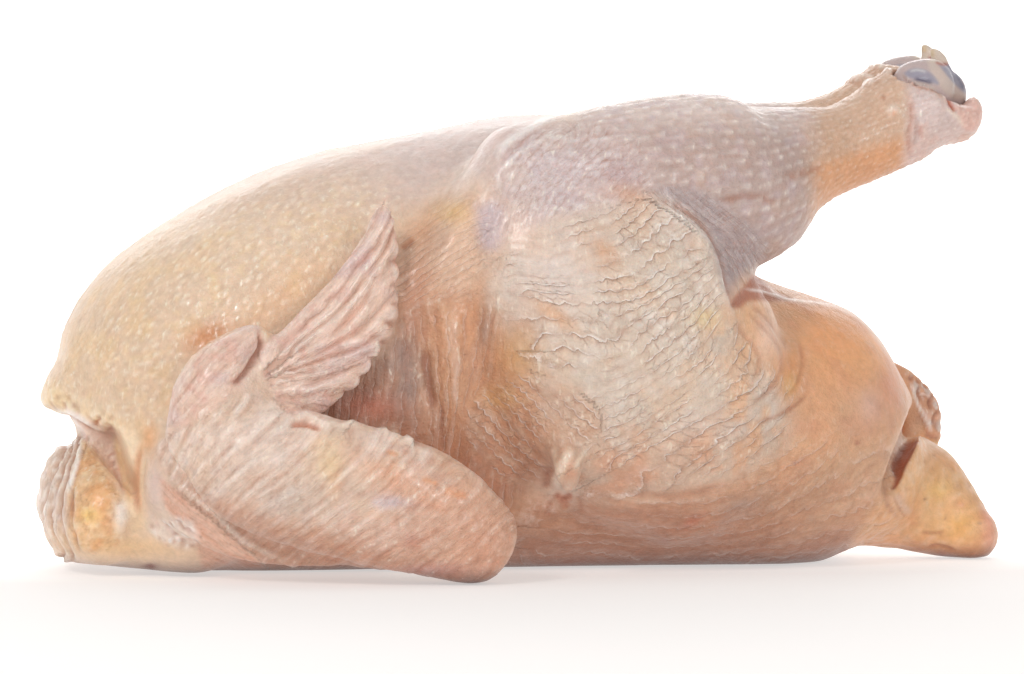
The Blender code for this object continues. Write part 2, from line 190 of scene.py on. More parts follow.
board_mesh = bpy.data.meshes.new("board")
board_mesh.from_pydata(
    [(x, y, z - FLOOR_DROP) for y, z in sweep for x in (-FLOOR_HALF, FLOOR_HALF)],
    [],
    [(2 * i, 2 * i + 1, 2 * i + 3, 2 * i + 2) for i in range(len(sweep) - 1)],
)
board_mesh.shade_smooth()
board_mesh.materials.append(board)
backdrop = bpy.data.objects.new("board", board_mesh)
bpy.context.scene.collection.objects.link(backdrop)

sky = bpy.data.worlds.new("sky")
sky.use_nodes = True
sky.node_tree.nodes["Background"].inputs["Color"].default_value = (1.0, 1.0, 1.0, 1.0)
sky.node_tree.nodes["Background"].inputs["Strength"].default_value = SKY_STRENGTH
bpy.context.scene.world = sky
bpy.context.scene.view_settings.view_transform = "Standard"

for name, place, aim, (wide, high), power in LAMPS:
    lamp = bpy.data.lights.new(name, "AREA")
    lamp.shape = "RECTANGLE"
    lamp.size, lamp.size_y = wide, high
    lamp.energy = power
    holder = bpy.data.objects.new(name, lamp)
    holder.location = place
    holder.rotation_euler = (Vector(aim) - Vector(place)).to_track_quat("-Z", "Y").to_euler()
    bpy.context.scene.collection.objects.link(holder)

# The skin, drawn over the whole bird
# Raw chicken skin is thin, wet and loose. It is one sheet from the neck to the hocks and the tail,
# and takes the form of the meat below it: the bird's plain solid, made fine and even first.
SKIN_VOXEL = 0.76
EVENING_ROUNDS = 12


def settle(obj):
    """Gives the object the mesh that its modifiers make, and drops them."""
    bpy.context.view_layer.update()
    graph = bpy.context.evaluated_depsgraph_get()
    made = bpy.data.meshes.new_from_object(obj.evaluated_get(graph))
    obj.modifiers.clear()
    obj.data = made


def modify(obj, kind, settings):
    change = obj.modifiers.new(kind, kind)
    for name, value in settings.items():
        setattr(change, name, value)
    settle(obj)


def even_copy(node, name, voxel, rounds):
    """A copy of a solid's mesh, joined up where its faces were split, rounded and made of small faces."""
    made = bpy.data.objects.new(name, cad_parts[node].data.copy())
    bpy.context.scene.collection.objects.link(made)
    modify(made, "WELD", {"merge_threshold": 0.00001})
    modify(made, "SUBSURF", {"levels": 1, "render_levels": 1})
    modify(made, "REMESH", {"mode": "VOXEL", "voxel_size": voxel * MM})
    modify(made, "SMOOTH", {"factor": 0.5, "iterations": rounds})
    return made


def numbers(items, name, width):
    found = np.empty(len(items) * width, np.float32)
    items.foreach_get(name, found)
    return found.reshape(-1, width).astype(float) if width > 1 else found.astype(float)


def put_places(obj, places):
    obj.data.vertices.foreach_set("co", (places * MM).astype(np.float32).ravel())
    obj.data.update()


def lay(obj, name, values):
    """Stores a number for each vertex on the mesh, for the material to read."""
    layer = obj.data.attributes.new(name, "FLOAT", "POINT")
    layer.data.foreach_set("value", values.astype(np.float32))


def lay_vector(obj, name, rows):
    layer = obj.data.attributes.new(name, "FLOAT_VECTOR", "POINT")
    layer.data.foreach_set("vector", rows.astype(np.float32).ravel())


def eased(value, low, high):
    """0 up to low, 1 from high on, and a smooth rise between."""
    t = np.clip((value - low) / (high - low), 0, 1)
    return t * t * (3 - 2 * t)


skin = even_copy("chicken", "chicken_skin", SKIN_VOXEL, EVENING_ROUNDS)
places = numbers(skin.data.vertices, "co", 3) / MM
facing = numbers(skin.data.vertex_normals, "vector", 3)

# The far side takes the near side's folds and stains, and its painted highlights and shade, so each place
# on it is looked up where it would lie on the near side. The far leg reaches further back, and the far wing
# is folded lower.
LEFT_REACH, LEFT_HOCK_LIFT, LEFT_KNEE_DROP = 12.0, 3.0, 3.5
WING_SHIFT, WING_RISE = 20.0, 27.0
TRUNK_X = (-130, -112, -96, -76, -54, 0, 44)
TRUNK_HALF_WIDTH = (24, 49, 57, 61, 63, 62, 60)
TRUNK_HEIGHT = (70, 96, 107, 117, 124, 134, 118)
TRUNK_WIDEST = 0.46
NEAR_WING_END, FAR_WING_END = -44, -62
NEAR_ELBOW, FAR_ELBOW = 9.0, 25.0
ELBOW_TOP, WING_TOP = 36, 112
LEG_LIFT_X = (-10, 12, 40, 80)
LEG_LOWEST, REACH_START = 50, 55


def on_the_near_side(places):
    """Where the same places would be on the near side, as far as the trunk and the legs go."""
    far = places[:, 1] > 0
    x, y, z = places[:, 0].copy(), -np.abs(places[:, 1]), places[:, 2].copy()
    lift = np.interp(x, LEG_LIFT_X, (0, -LEFT_KNEE_DROP, -LEFT_KNEE_DROP, LEFT_HOCK_LIFT))
    on_leg = np.clip((z - LEG_LOWEST) / 40, 0, 1)
    x -= np.where(far, LEFT_REACH * np.clip((x - REACH_START) / 50, 0, 1) * on_leg, 0)
    z -= np.where(far, lift * on_leg, 0)
    return np.stack([x, y, z], axis=1)


def torso_reach(x, z):
    """How far the trunk alone reaches sideways at that place."""
    half = np.interp(x, TRUNK_X, TRUNK_HALF_WIDTH)
    high = np.interp(x, TRUNK_X, TRUNK_HEIGHT)
    middle = TRUNK_WIDEST * high
    rise = np.where(z > middle, (z - middle) / (high - middle), (middle - z) / middle)
    return half * np.sqrt(np.clip(1 - rise**2, 0, 1))


far = places[:, 1] > 0
near_side = on_the_near_side(places)
x, y, z = near_side.T
stands_out = -y - torso_reach(x, z)

# The wing is what stands out from the trunk before its hind end, and the elbow, which is low and far out
wing = np.where(x < np.where(far, FAR_WING_END, NEAR_WING_END), eased(stands_out, 1.0, 3.0), 0)
elbow_end = np.where(far, FAR_ELBOW, NEAR_ELBOW)
elbow = eased(-y, 65.5, 68.5) * eased(-x, elbow_end, elbow_end + 4.0)
wing = np.maximum(wing, elbow * eased(-z, -ELBOW_TOP - 6, -ELBOW_TOP)) * eased(-z, -WING_TOP - 6, -WING_TOP)
wing_fold = np.clip(np.maximum((-50 - x) / 60, (z - 22) / 12), 0, 1)
near_side[:, 0] += np.where(far, WING_SHIFT * wing, 0)
near_side[:, 2] += np.where(far, WING_RISE * wing * wing_fold, 0)

# The neck end and the tail end aren't mirrored, because more than their near half shows in the picture
open_end = eased(-places[:, 0], 110, 118) + eased(places[:, 0], 100, 107) * (1 - eased(places[:, 2], 58, 66))
shown_side = near_side + (places - near_side) * open_end[:, None]


def smooth_line(points, steps=5):
    """More points on a smooth curve through the points given."""
    rows = np.array(points, float)
    ends = np.vstack([2 * rows[0] - rows[1], rows, 2 * rows[-1] - rows[-2]])
    made = []
    for i in range(1, len(ends) - 2):
        before, start, stop, after = ends[i - 1 : i + 3]
        for t in np.arange(steps) / steps:
            bend = (2 * before - 5 * start + 4 * stop - after) * t**2
            turn = (3 * start - before - 3 * stop + after) * t**3
            made.append(0.5 * (2 * start + (stop - before) * t + bend + turn))
    made.append(rows[-1])
    return np.array(made)


def reach_to(line, spots):
    """How far each spot is from a line, more than 0 on the right of its way, and how far along it that is."""
    away = np.full(len(spots), 1e9)
    side = np.zeros(len(spots))
    along = np.zeros(len(spots))
    lengths = np.linalg.norm(np.diff(line, axis=0), axis=1)
    starts = np.concatenate([[0], np.cumsum(lengths)])
    for i, (start, stop) in enumerate(zip(line, line[1:])):
        way = (stop - start) / lengths[i]
        off = spots - start
        t = np.clip(off @ way, 0, lengths[i])
        gap = np.linalg.norm(off - t[:, None] * way, axis=1)
        nearer = gap < away
        away[nearer] = gap[nearer]
        side[nearer] = np.sign(way[0] * off[nearer, 1] - way[1] * off[nearer, 0])
        along[nearer] = starts[i] + t[nearer]
    return away * side, along, starts[-1]


# Colours of the skin, from 0 to 255 as they are seen on a screen
CREAM, PEACH, PINK, ROSE = (226, 203, 184), (229, 199, 168), (216, 190, 176), (220, 166, 148)
TAN, BROWN, DARK, RED = (208, 158, 122), (176, 124, 96), (132, 88, 72), (140, 62, 46)
ORANGE, YELLOW, FAT_YELLOW = (224, 150, 98), (230, 186, 116), (232, 190, 138)
GREY, LILAC, MAUVE, WHITE = (150, 130, 122), (196, 178, 184), (184, 160, 152), (250, 245, 240)


def shade(red, green, blue):
    """A colour as it is seen on a screen, from 0 to 255, turned into the light that it stands for."""
    return tuple(((c / 255 + 0.055) / 1.055) ** 2.4 for c in (red, green, blue))


class Canvas:
    """The places of a piece laid out flat as the camera sees them, with brushes for folds and stains
    and for painted highlights and shade.
    """

    def __init__(self, near_side, colour):
        self.across, self.down = picture_points(near_side)
        self.flat = np.stack([self.across, self.down], axis=1)
        self.tone = np.tile(shade(*colour), (len(near_side), 1))

    def close_to(self, line, limit):
        low, high = line.min(0) - limit, line.max(0) + limit
        return np.flatnonzero(((self.flat > low) & (self.flat < high)).all(axis=1))

    def stroke(self, points, right, left=None):
        """A brush drawn along a line: 1 on it, fading over so many pixels to its right and left and
        over the first and last quarter of its length."""
        line = smooth_line(points)
        left = right if left is None else left
        which = self.close_to(line, 2.4 * max(left, right))
        aside, along, length = reach_to(line, self.flat[which])
        spread = np.where(aside > 0, right, left)
        fade = eased(np.minimum(along, length - along) / length, 0.0, 0.25)
        made = np.zeros(len(self.flat))
        made[which] = np.exp(-((aside / spread) ** 2)) * fade
        return made

    def patch(self, points, soft):
        """The area inside an outline: 1 inside and 0 outside, with a soft edge."""
        line = smooth_line([*points, points[0]], 3)
        which = self.close_to(line, 2 * soft)
        aside = reach_to(line, self.flat[which])[0]
        inside = np.zeros(len(which), bool)
        u, v = self.flat[which].T
        for start, stop in zip(line, line[1:]):
            if start[1] != stop[1]:
                crosses = (start[1] > v) != (stop[1] > v)
                edge = start[0] + (v - start[1]) * (stop[0] - start[0]) / (stop[1] - start[1])
                inside ^= crosses & (u < edge)
        made = np.zeros(len(self.flat))
        made[which] = eased(np.where(inside, 1.0, -1.0) * np.abs(aside), -soft, soft)
        return made

    def spot(self, u, v, wide, high, lean=0.0):
        """A soft round or leaning spot about a picture point."""
        a = math.radians(lean)
        off_u, off_v = self.across - u, self.down - v
        along = off_u * math.cos(a) + off_v * math.sin(a)
        return np.exp(-((along / wide) ** 2) - ((off_v * math.cos(a) - off_u * math.sin(a)) / high) ** 2)

    def wash(self, mask, colour, strength=1.0):
        """Lays a thin colour over what the mask says."""
        share = (np.clip(mask, 0, 1) * strength)[:, None]
        self.tone = self.tone * (1 - share) + np.array(shade(*colour)) * share

    def clouds(self, mask, swells, colour, strength):
        """Lays a thin colour over what the mask says, only where the swells are high."""
        self.wash(mask * eased(swells, 0.0, 0.7), colour, strength)

    def sheaf(self, lines, mask, pitch):
        """Measures a sheaf of lines, each of which lies on a fold. It gives how many folds of that pitch each
        place is from the first line, and how far along the lines it is, in pixels."""
        which = np.flatnonzero(mask > 0.004)
        curves = [smooth_line(points) for points in lines]
        aside, along = [], []
        for curve in curves:
            off, way, length = reach_to(curve, self.flat[which])
            aside.append(off)
            along.append(way / length)
        aside, along = np.array(aside), np.array(along)
        gaps = [np.abs(reach_to(curves[i], curves[i + 1])[0]).mean() / pitch for i in range(len(curves) - 1)]
        values = np.concatenate([[0], np.cumsum(np.maximum(np.round(gaps), 1))])
        first = np.clip((aside > 0).sum(axis=0) - 1, 0, len(curves) - 2)
        column = np.arange(len(which))
        before, after = aside[first, column], aside[first + 1, column]
        share = before / np.where(np.abs(before - after) < 1e-6, 1e-6, before - after)
        inner = values[first] + share * (values[first + 1] - values[first])
        outside = np.where(aside[0] <= 0, aside[0] / pitch, values[-1] + aside[-1] / pitch)
        fold = np.where((aside[0] <= 0) | (aside[-1] >= 0), outside, inner)
        share = np.clip(share, 0, 1)
        mean_length = np.mean([reach_to(c, c[:1])[2] for c in curves])
        way = mean_length * (along[first, column] * (1 - share) + along[first + 1, column] * share)
        return which, fold, way


def chance(cells, seed):
    """A number from 0 to 1 for each row of whole numbers, always the same one."""
    mixed = np.full(cells.shape[:-1], seed * 2654435761 % 2**32, np.uint64)
    for axis in range(cells.shape[-1]):
        part = (cells[..., axis].astype(np.int64) & 0xFFFFFFFF).astype(np.uint64)
        mixed = (mixed ^ part) * np.uint64(1597334677)
        mixed = (mixed ^ (mixed >> np.uint64(15))) & np.uint64(0xFFFFFFFF)
    mixed = (mixed * np.uint64(2246822519)) & np.uint64(0xFFFFFFFF)
    return ((mixed ^ (mixed >> np.uint64(13))) & np.uint64(0xFFFFFF)).astype(float) / 0xFFFFFF


def ripple(coordinates, size, seed):
    """Soft random swells of about that size, from -1 to 1, over any number of coordinates."""
    scaled = coordinates / size
    cell = np.floor(scaled)
    t = scaled - cell
    t = t * t * (3 - 2 * t)
    total = np.zeros(len(scaled))
    for corner in np.ndindex(*(2,) * scaled.shape[1]):
        weight = np.prod(np.where(np.array(corner) == 1, t, 1 - t), axis=1)
        total += weight * chance(cell + np.array(corner), seed)
    return 2 * total - 1


def dots(along, over, pitch_along, pitch_over, jitter, seed):
    """Offsets, in pitches, from the nearest of staggered rows of dots, and a chance number for that dot."""
    best = np.full(len(along), 1e9)
    found = [np.zeros(len(along)) for _ in range(3)]
    first = np.round(over / pitch_over)
    for step in (-1, 0, 1):
        row = first + step
        shift = 0.5 * (row % 2)
        column = np.round(along / pitch_along - shift)
        cell = np.stack([row, column], axis=1)
        s = along / pitch_along - shift - column - jitter * (chance(cell, seed) - 0.5)
        t = over / pitch_over - row - jitter * (chance(cell, seed + 1) - 0.5)
        gap = s * s + t * t
        nearer = gap < best
        best[nearer] = gap[nearer]
        for store, value in zip(found, (s, t, chance(cell, seed + 2))):
            store[nearer] = value[nearer]
    return found


def cells(a, b, seed):
    """For places measured in cells: how far across its own irregular cell each one is, how near the
    cell's border, and a chance number for the cell."""
    base = np.stack([np.floor(a), np.floor(b)], axis=1)
    nearest, second = np.full(len(a), 9.0), np.full(len(a), 9.0)
    over, luck = np.zeros(len(a)), np.zeros(len(a))
    for step in np.ndindex(3, 3):
        cell = base + np.array(step) - 1
        off_a = a - cell[:, 0] - 0.5 - 0.8 * (chance(cell, seed) - 0.5)
        off_b = b - cell[:, 1] - 0.5 - 0.8 * (chance(cell, seed + 1) - 0.5)
        gap = np.hypot(off_a, off_b)
        closer = gap < nearest
        second = np.where(closer, nearest, np.minimum(second, gap))
        over = np.where(closer, off_a, over)
        luck = np.where(closer, chance(cell, seed + 2), luck)
        nearest = np.minimum(nearest, gap)
    return over, second - nearest, luck


bird = Canvas(shown_side, CREAM)
across, down = bird.across, bird.down
height = np.zeros(len(places))
folds, streaks = np.zeros((len(places), 3)), np.zeros((len(places), 3))
crease_depth, streak_depth = np.zeros(len(places)), np.zeros(len(places))
claimed, rival = np.zeros(len(places)), np.zeros(len(places))
warp = np.stack([ripple(near_side, 16, n) for n in (11, 12, 13)], axis=1)
flow = near_side + 3.0 * warp

# Where the skin of each part of the bird begins and ends
WING = [(157, 440), (163, 408), (180, 376), (204, 349), (230, 333), (256, 316), (265, 343), (284, 319)]
WING += [(311, 292), (338, 263), (359, 237), (378, 205), (392, 198), (408, 212), (410, 245), (405, 300)]
WING += [(397, 325), (386, 346), (376, 372), (359, 396), (326, 411), (345, 420), (382, 416), (415, 438)]
WING += [(450, 456), (488, 480), (514, 505), (522, 530), (514, 560), (488, 584), (458, 594), (400, 594)]
WING += [(300, 586), (255, 556), (220, 526), (180, 493), (158, 466)]
BREAST = [(20, 395), (60, 255), (150, 190), (300, 120), (430, 95), (560, 90), (520, 150), (470, 190)]
BREAST += [(440, 230), (400, 250), (330, 320), (250, 400), (160, 480), (100, 420)]
SHANK = [(560, 170), (600, 90), (690, 70), (840, 60), (960, 20), (1010, 120), (930, 180), (860, 220)]
SHANK += [(800, 258), (760, 276), (740, 298), (730, 308), (721, 290), (700, 232), (655, 200), (600, 190)]
THIGH = [(510, 240), (560, 225), (620, 205), (655, 200), (700, 232), (722, 292), (736, 322), (760, 350)]
THIGH += [(792, 395), (775, 450), (710, 480), (640, 498), (580, 498), (552, 460), (540, 400), (510, 350)]
THIGH += [(490, 300)]
BELLY = [(728, 312), (738, 290), (760, 274), (800, 280), (870, 310), (915, 365), (935, 409), (905, 440)]
BELLY += [(895, 480), (870, 560), (700, 580), (560, 580), (500, 560), (520, 500), (600, 505), (700, 490)]
BELLY += [(755, 465), (790, 420)]
TAIL = [(885, 490), (905, 440), (925, 425), (960, 430), (1010, 520), (1010, 590), (900, 590), (850, 560)]
FLANK = [(400, 300), (440, 290), (500, 300), (520, 350), (545, 400), (552, 460), (520, 500)]
FLANK += [(500, 570), (420, 500), (330, 480), (260, 470), (240, 430), (300, 400), (385, 350)]
STRETCH = [(385, 260), (430, 205), (490, 190), (510, 250), (500, 300), (440, 320), (395, 330)]
HAND = [(255, 350), (300, 285), (360, 215), (388, 195), (412, 215), (410, 300), (390, 350), (350, 405)]
HAND += [(285, 412)]
THUMB = [(158, 440), (170, 385), (215, 335), (258, 312), (270, 335), (250, 375), (215, 410)]
FOREARM = [(150, 440), (190, 400), (270, 395), (330, 415), (400, 425), (520, 500), (520, 590), (300, 590)]
FOREARM += [(200, 530)]
NECK = [(20, 440), (84, 436), (86, 450), (76, 470), (76, 500), (76, 560), (20, 570)]
FAT = [(84, 440), (116, 450), (122, 540), (76, 545), (70, 490)]
WEB = [(158, 476), (215, 512), (262, 548), (290, 566), (212, 576), (196, 545), (166, 508)]
FAN = [(630, 190), (700, 190), (768, 245), (745, 286), (730, 304), (700, 240), (655, 205)]
SCALES = [(466, 405), (500, 380), (530, 372), (570, 388), (600, 412), (596, 440), (560, 452), (545, 478)]
SCALES += [(500, 478), (466, 440)]
KNEE = [(480, 200), (500, 150), (560, 120), (640, 140), (650, 200), (600, 215), (540, 225), (500, 250)]

wing *= bird.patch(WING, 4)
body = 1 - wing
breast = bird.patch(BREAST, 20) * body
shank = bird.patch(SHANK, 12) * body
scales = bird.patch(SCALES, 14) * body
thigh = bird.patch(THIGH, 14) * body
belly = bird.patch(BELLY, 16) * body
tail = bird.patch(TAIL, 10)
flank = bird.patch(FLANK, 24) * body
stretch = bird.patch(STRETCH, 22) * body
hand = bird.patch(HAND, 5) * wing
thumb = bird.patch(THUMB, 5) * wing
forearm = bird.patch(FOREARM, 6) * wing * (1 - hand) * (1 - thumb)
trunk = np.maximum(body, open_end)
neck = bird.patch(NECK, 4) * trunk
fat = bird.patch(FAT, 4) * trunk
web = bird.patch(WEB, 5) * body
fan = bird.patch(FAN, 7) * body
knee = bird.patch(KNEE, 14) * body

# Relief of the shank: rows of raised follicles, each drawn out towards the foot, where it ends short
SHANK_AXIS = np.array([(-6, 47, 106), (38, 49, 112), (64, 43, 114.5), (92, 35.5, 124), (129, 31, 136.5)])
SHANK_RADIUS = (25, 29, 24, 13, 12)
FOLLICLE_RADIUS = 24.0
FOLLICLE_STEP, FOLLICLE_ROW = 4.6, 3.5
shank_x = SHANK_AXIS[:, 0]
centre_y = -np.interp(near_side[:, 0], shank_x, SHANK_AXIS[:, 1])
centre_z = np.interp(near_side[:, 0], shank_x, SHANK_AXIS[:, 2])
steps_x = np.linspace(-30, 160, 191)
steps_s = np.cumsum(FOLLICLE_RADIUS / np.interp(steps_x, shank_x, SHANK_RADIUS))
shank_along = np.interp(near_side[:, 0], steps_x, steps_s) + 1.2 * warp[:, 0]
shank_round = FOLLICLE_RADIUS * np.arctan2(near_side[:, 2] - centre_z, near_side[:, 1] - centre_y)
shank_round += 1.2 * warp[:, 1]
s, t, luck = dots(shank_along, shank_round, FOLLICLE_STEP, FOLLICLE_ROW, 0.5, 41)
shank_dot = eased(s, -0.62, 0.20) * (1 - eased(s, 0.20, 0.34)) * (0.5 + 0.5 * luck)
shank_dot *= np.exp(-((t / (0.14 + 0.16 * np.clip(s + 0.5, 0, 1))) ** 2))
shank_fibre = ripple(np.stack([shank_along / 6.0, shank_round], axis=1), 0.9, 53)
on_shank = shank * (1 - 0.8 * fan)
height += on_shank * (0.36 * shank_dot + 0.09 * shank_fibre)

# Relief of the breast: low round follicles under skin that is drawn tight
BREAST_RADIUS, BREAST_AXIS_HEIGHT = 68.0, 48.0
BREAST_STEP, BREAST_ROW, BREAST_SLANT = 3.4, 3.0, 0.35
breast_round = BREAST_RADIUS * np.arctan2(-near_side[:, 1], near_side[:, 2] - BREAST_AXIS_HEIGHT)
breast_along = near_side[:, 0] + BREAST_SLANT * breast_round
s, t, luck = dots(breast_along, breast_round, BREAST_STEP, BREAST_ROW, 0.8, 61)
breast_dot = np.exp(-((s / 0.24) ** 2) - (t / 0.30) ** 2) * luck
DENSE = [(40, 400), (75, 330), (150, 255), (240, 205), (340, 185), (400, 200), (340, 285), (255, 325)]
DENSE += [(180, 380), (150, 430), (100, 430)]
dense = bird.patch(DENSE, 30) * breast
tight = np.clip(breast + 0.6 * knee, 0, 1)
height += tight * (0.16 + 0.26 * dense) * breast_dot

# Folds of loose skin lie along a sheaf of lines on each part. Each is cut into long cells that lift
# towards one side like shingles.
THIGH_LINES = [
    [(505, 262), (545, 268), (590, 256), (632, 240), (660, 212)],
    [(530, 296), (575, 300), (632, 300), (665, 286), (700, 262)],
    [(560, 352), (617, 352), (639, 329), (684, 305), (714, 276)],
    [(575, 402), (622, 388), (660, 364), (700, 334), (722, 304)],
    [(580, 436), (620, 422), (658, 401), (702, 371), (726, 338)],
    [(596, 456), (635, 434), (686, 404), (719, 380), (748, 345)],
    [(628, 462), (672, 438), (726, 403), (758, 380), (758, 348)],
    [(680, 478), (719, 440), (754, 414), (782, 378), (764, 328)],
    [(700, 492), (742, 460), (788, 428), (804, 385), (796, 332)],
]
HAND_LINES = [
    [(262, 345), (280, 330), (311, 297), (338, 268), (359, 240), (380, 208)],
    [(285, 348), (320, 312), (352, 272), (378, 236), (392, 208)],
    [(300, 350), (335, 322), (368, 288), (390, 255), (402, 222)],
    [(300, 360), (338, 338), (372, 315), (398, 296)],
    [(290, 370), (325, 356), (358, 344), (384, 332)],
    [(280, 384), (318, 376), (350, 370), (372, 360)],
    [(272, 396), (308, 394), (340, 398)],
]
FOREARM_LINES = [
    [(152, 450), (165, 415), (185, 385)],
    [(172, 478), (195, 432), (225, 395)],
    [(190, 508), (230, 462), (275, 420)],
    [(222, 540), (280, 492), (338, 438)],
    [(268, 562), (335, 515), (405, 452)],
    [(330, 574), (395, 530), (460, 480)],
    [(400, 582), (455, 547), (502, 505)],
    [(452, 590), (492, 562), (514, 530)],
]
THUMB_LINES = [
    [(160, 410), (205, 350), (255, 318)],
    [(182, 412), (222, 372), (262, 335)],
    [(205, 415), (240, 390), (275, 355)],
]
FLANK_LINES = [
    [(385, 440), (394, 380), (398, 320), (402, 270)],
    [(434, 450), (432, 400), (424, 345), (418, 290)],
    [(446, 460), (448, 400), (450, 350), (446, 300)],
    [(458, 470), (464, 410), (474, 360), (482, 310)],
    [(500, 500), (506, 440), (520, 390), (520, 340)],
]
STRETCH_LINES = [
    [(395, 255), (430, 232), (470, 205)],
    [(402, 290), (440, 262), (482, 235)],
    [(412, 312), (450, 287), (488, 265)],
    [(425, 338), (458, 312), (490, 295)],
]
FAN_LINES = [
    [(690, 180), (722, 205), (750, 230), (768, 252)],
    [(673, 191), (706, 218), (733, 242), (748, 268)],
    [(648, 194), (681, 223), (708, 248), (728, 275)],
    [(640, 204), (665, 222), (692, 248), (712, 280)],
]
BELLY_LINES = [
    [(590, 486), (650, 495), (710, 488), (760, 465), (800, 440), (830, 410)],
    [(590, 505), (650, 515), (720, 510), (790, 480), (850, 440), (890, 400)],
    [(560, 530), (620, 535), (680, 538), (740, 530), (810, 510), (870, 485)],
    [(540, 550), (620, 555), (700, 553), (780, 545), (860, 530), (900, 520)],
]
NECK_LINES = [
    [(82, 441), (75, 465), (68, 490), (64, 515), (66, 535), (74, 556)],
    [(70, 450), (57, 475), (48, 495), (43, 515), (46, 532), (58, 552)],
    [(56, 450), (44, 470), (37, 490), (31, 507), (29, 520), (34, 537), (47, 552)],
]
WEB_LINES = [
    [(156, 462), (185, 498), (215, 518), (245, 542), (285, 560)],
    [(150, 485), (178, 515), (205, 535), (235, 556), (275, 572)],
    [(142, 510), (168, 538), (195, 556), (225, 572)],
]
KNEE_LINES = [
    [(500, 240), (520, 180), (560, 140)],
    [(540, 240), (570, 190), (620, 150)],
    [(590, 230), (620, 190), (660, 160)],
]
SCALE_LINES = [
    [(520, 366), (556, 392), (596, 426)],
    [(496, 384), (532, 414), (566, 448)],
    [(474, 404), (508, 438), (546, 472)],
]
SHEAVES = (
    # mask, lines, pitch of the folds in pixels, their lift in mm, strength of their creases and of the
    # fine streaks, and length, width (in pixels) and lift (in mm) of the beads between the creases
    (thigh * (1 - scales), THIGH_LINES, 11.0, 0.20, 1.0, 0.25, 15.0, 11.0, 0.10),
    (scales, SCALE_LINES, 10.0, 0.20, 0.8, 0.3, 12.0, 9.0, 0.14),
    (hand, HAND_LINES, 12.0, 0.45, 0.25, 0.9, 40.0, 7.0, 0.05),
    (forearm, FOREARM_LINES, 11.0, 0.18, 0.0, 0.7, 17.0, 8.0, 0.08),
    (thumb, THUMB_LINES, 9.0, 0.15, 0.1, 0.5, 16.0, 6.0, 0.10),
    (flank * (1 - scales), FLANK_LINES, 10.0, 0.18, 0.35, 0.45, 26.0, 6.0, 0.10),
    (stretch, STRETCH_LINES, 6.0, 0.14, 0.35, 0.5, 24.0, 5.0, 0.08),
    (fan, FAN_LINES, 6.0, 0.16, 0.45, 0.6, 14.0, 6.0, 0.12),
    (belly * eased(down, 400, 470), BELLY_LINES, 15.0, 0.15, 0.3, 0.4, 18.0, 9.0, 0.10),
    (neck, NECK_LINES, 9.0, 1.2, 0.9, 0.3, 40.0, 8.0, 0.10),
    (web, WEB_LINES, 6.0, 0.12, 0.2, 0.6, 18.0, 5.0, 0.10),
    (knee * (1 - thigh), KNEE_LINES, 8.0, 0.10, 0.25, 0.3, 10.0, 7.0, 0.14),
)
DEEPEST_BEAD = 0.14
SCALLOP_DEPTH = 0.24
calm = bird.spot(565, 250, 60, 40, 10) + 0.5 * bird.spot(600, 372, 50, 26)
broken = eased(ripple(near_side, 7.0, 87) - 0.9 * calm, -0.8, 0.1)
beaded = np.zeros(len(places))
for number, (mask, lines, pitch, lift, crease, streak, bead_long, bead_wide, bead_lift) in enumerate(SHEAVES):
    which, fold, way = bird.sheaf(lines, mask, pitch)
    fold += 0.25 * warp[which, 2] + 0.3 * ripple(np.stack([way / 50, fold / 2.5], axis=1), 1.0, 300 + number)
    over, border, luck = cells(way / bead_long + 0.4 * np.floor(fold), fold * pitch / bead_wide, 500 + number)
    dome = eased(border, 0.0, 0.4) * (0.6 + 0.8 * luck)
    row = np.round(fold)
    uneven = ripple(np.stack([way / 30, 3.0 * row], axis=1), 1.0, 800 + number)
    arc = np.abs(np.sin(np.pi * (way / bead_long + chance(row[:, None], 700 + number) + 0.9 * uneven)))
    scalloped = fold - SCALLOP_DEPTH * (arc - 0.5) * (1 - (2 * (fold - row)) ** 2)
    share = scalloped % 1.0
    shape = eased(share, 0.0, 0.7) * (1 - eased(share, 0.75, 1.0)) - 0.4
    height[which] += mask[which] * (lift * shape + bead_lift * (dome - 0.5)) * (0.35 + 0.65 * broken[which])
    stronger = mask[which] > claimed[which]
    taken = which[stronger]
    rival[which] = np.maximum(rival[which], np.minimum(mask[which], claimed[which]))
    claimed[taken] = mask[taken]
    folds[taken] = np.stack([way / bead_long, fold * pitch / bead_wide, scalloped], axis=1)[stronger]
    streaks[taken] = np.stack([fold * pitch / 2.6, way / 15.0, 0 * way], axis=1)[stronger]
    at_border = (1 - eased(border, 0.02, 0.16)) * np.clip(bead_lift / DEEPEST_BEAD, 0, 1)
    beaded[taken] = at_border[stronger] * broken[taken]
    crease_depth[taken] = crease * broken[taken]
    streak_depth[taken] = streak
sure = np.clip(2.5 * (claimed - rival), 0, 1) * np.clip(2 * claimed - 0.6, 0, 1)
crease_depth *= sure
streak_depth *= sure
beaded *= sure
drawn = ripple(streaks[:, :2] / 2, 1.0, 405) * sure
STREAK_LIFTS = ((hand, 0.28), (forearm, 0.16), (thumb, 0.14), (flank, 0.14), (stretch, 0.10), (thigh, 0.06))
height += drawn * sum(stands_out * where for where, stands_out in STREAK_LIFTS)

# Small follicles, drawn out along the folds, raise the skin of the wing
WING_STEP, WING_ROW = 4.0, 3.4
wing_along, wing_over = near_side[:, 0] - near_side[:, 2], near_side[:, 0] + near_side[:, 2]
s, t, luck = dots(wing_along, wing_over, WING_STEP, WING_ROW, 0.8, 71)
wing_dot = np.exp(-((s / 0.17) ** 2) - (t / 0.36) ** 2) * luck
height += wing * (1 - hand) * 0.08 * wing_dot

# Grains of yellow fat lie bare at the neck, each a small lump of its own
GRAIN = 1.6
over, border, luck = cells(near_side[:, 0] / GRAIN, near_side[:, 2] / GRAIN, 301)
height += fat * (0.35 * luck - 0.12 * (1 - eased(border, 0.0, 0.35)))

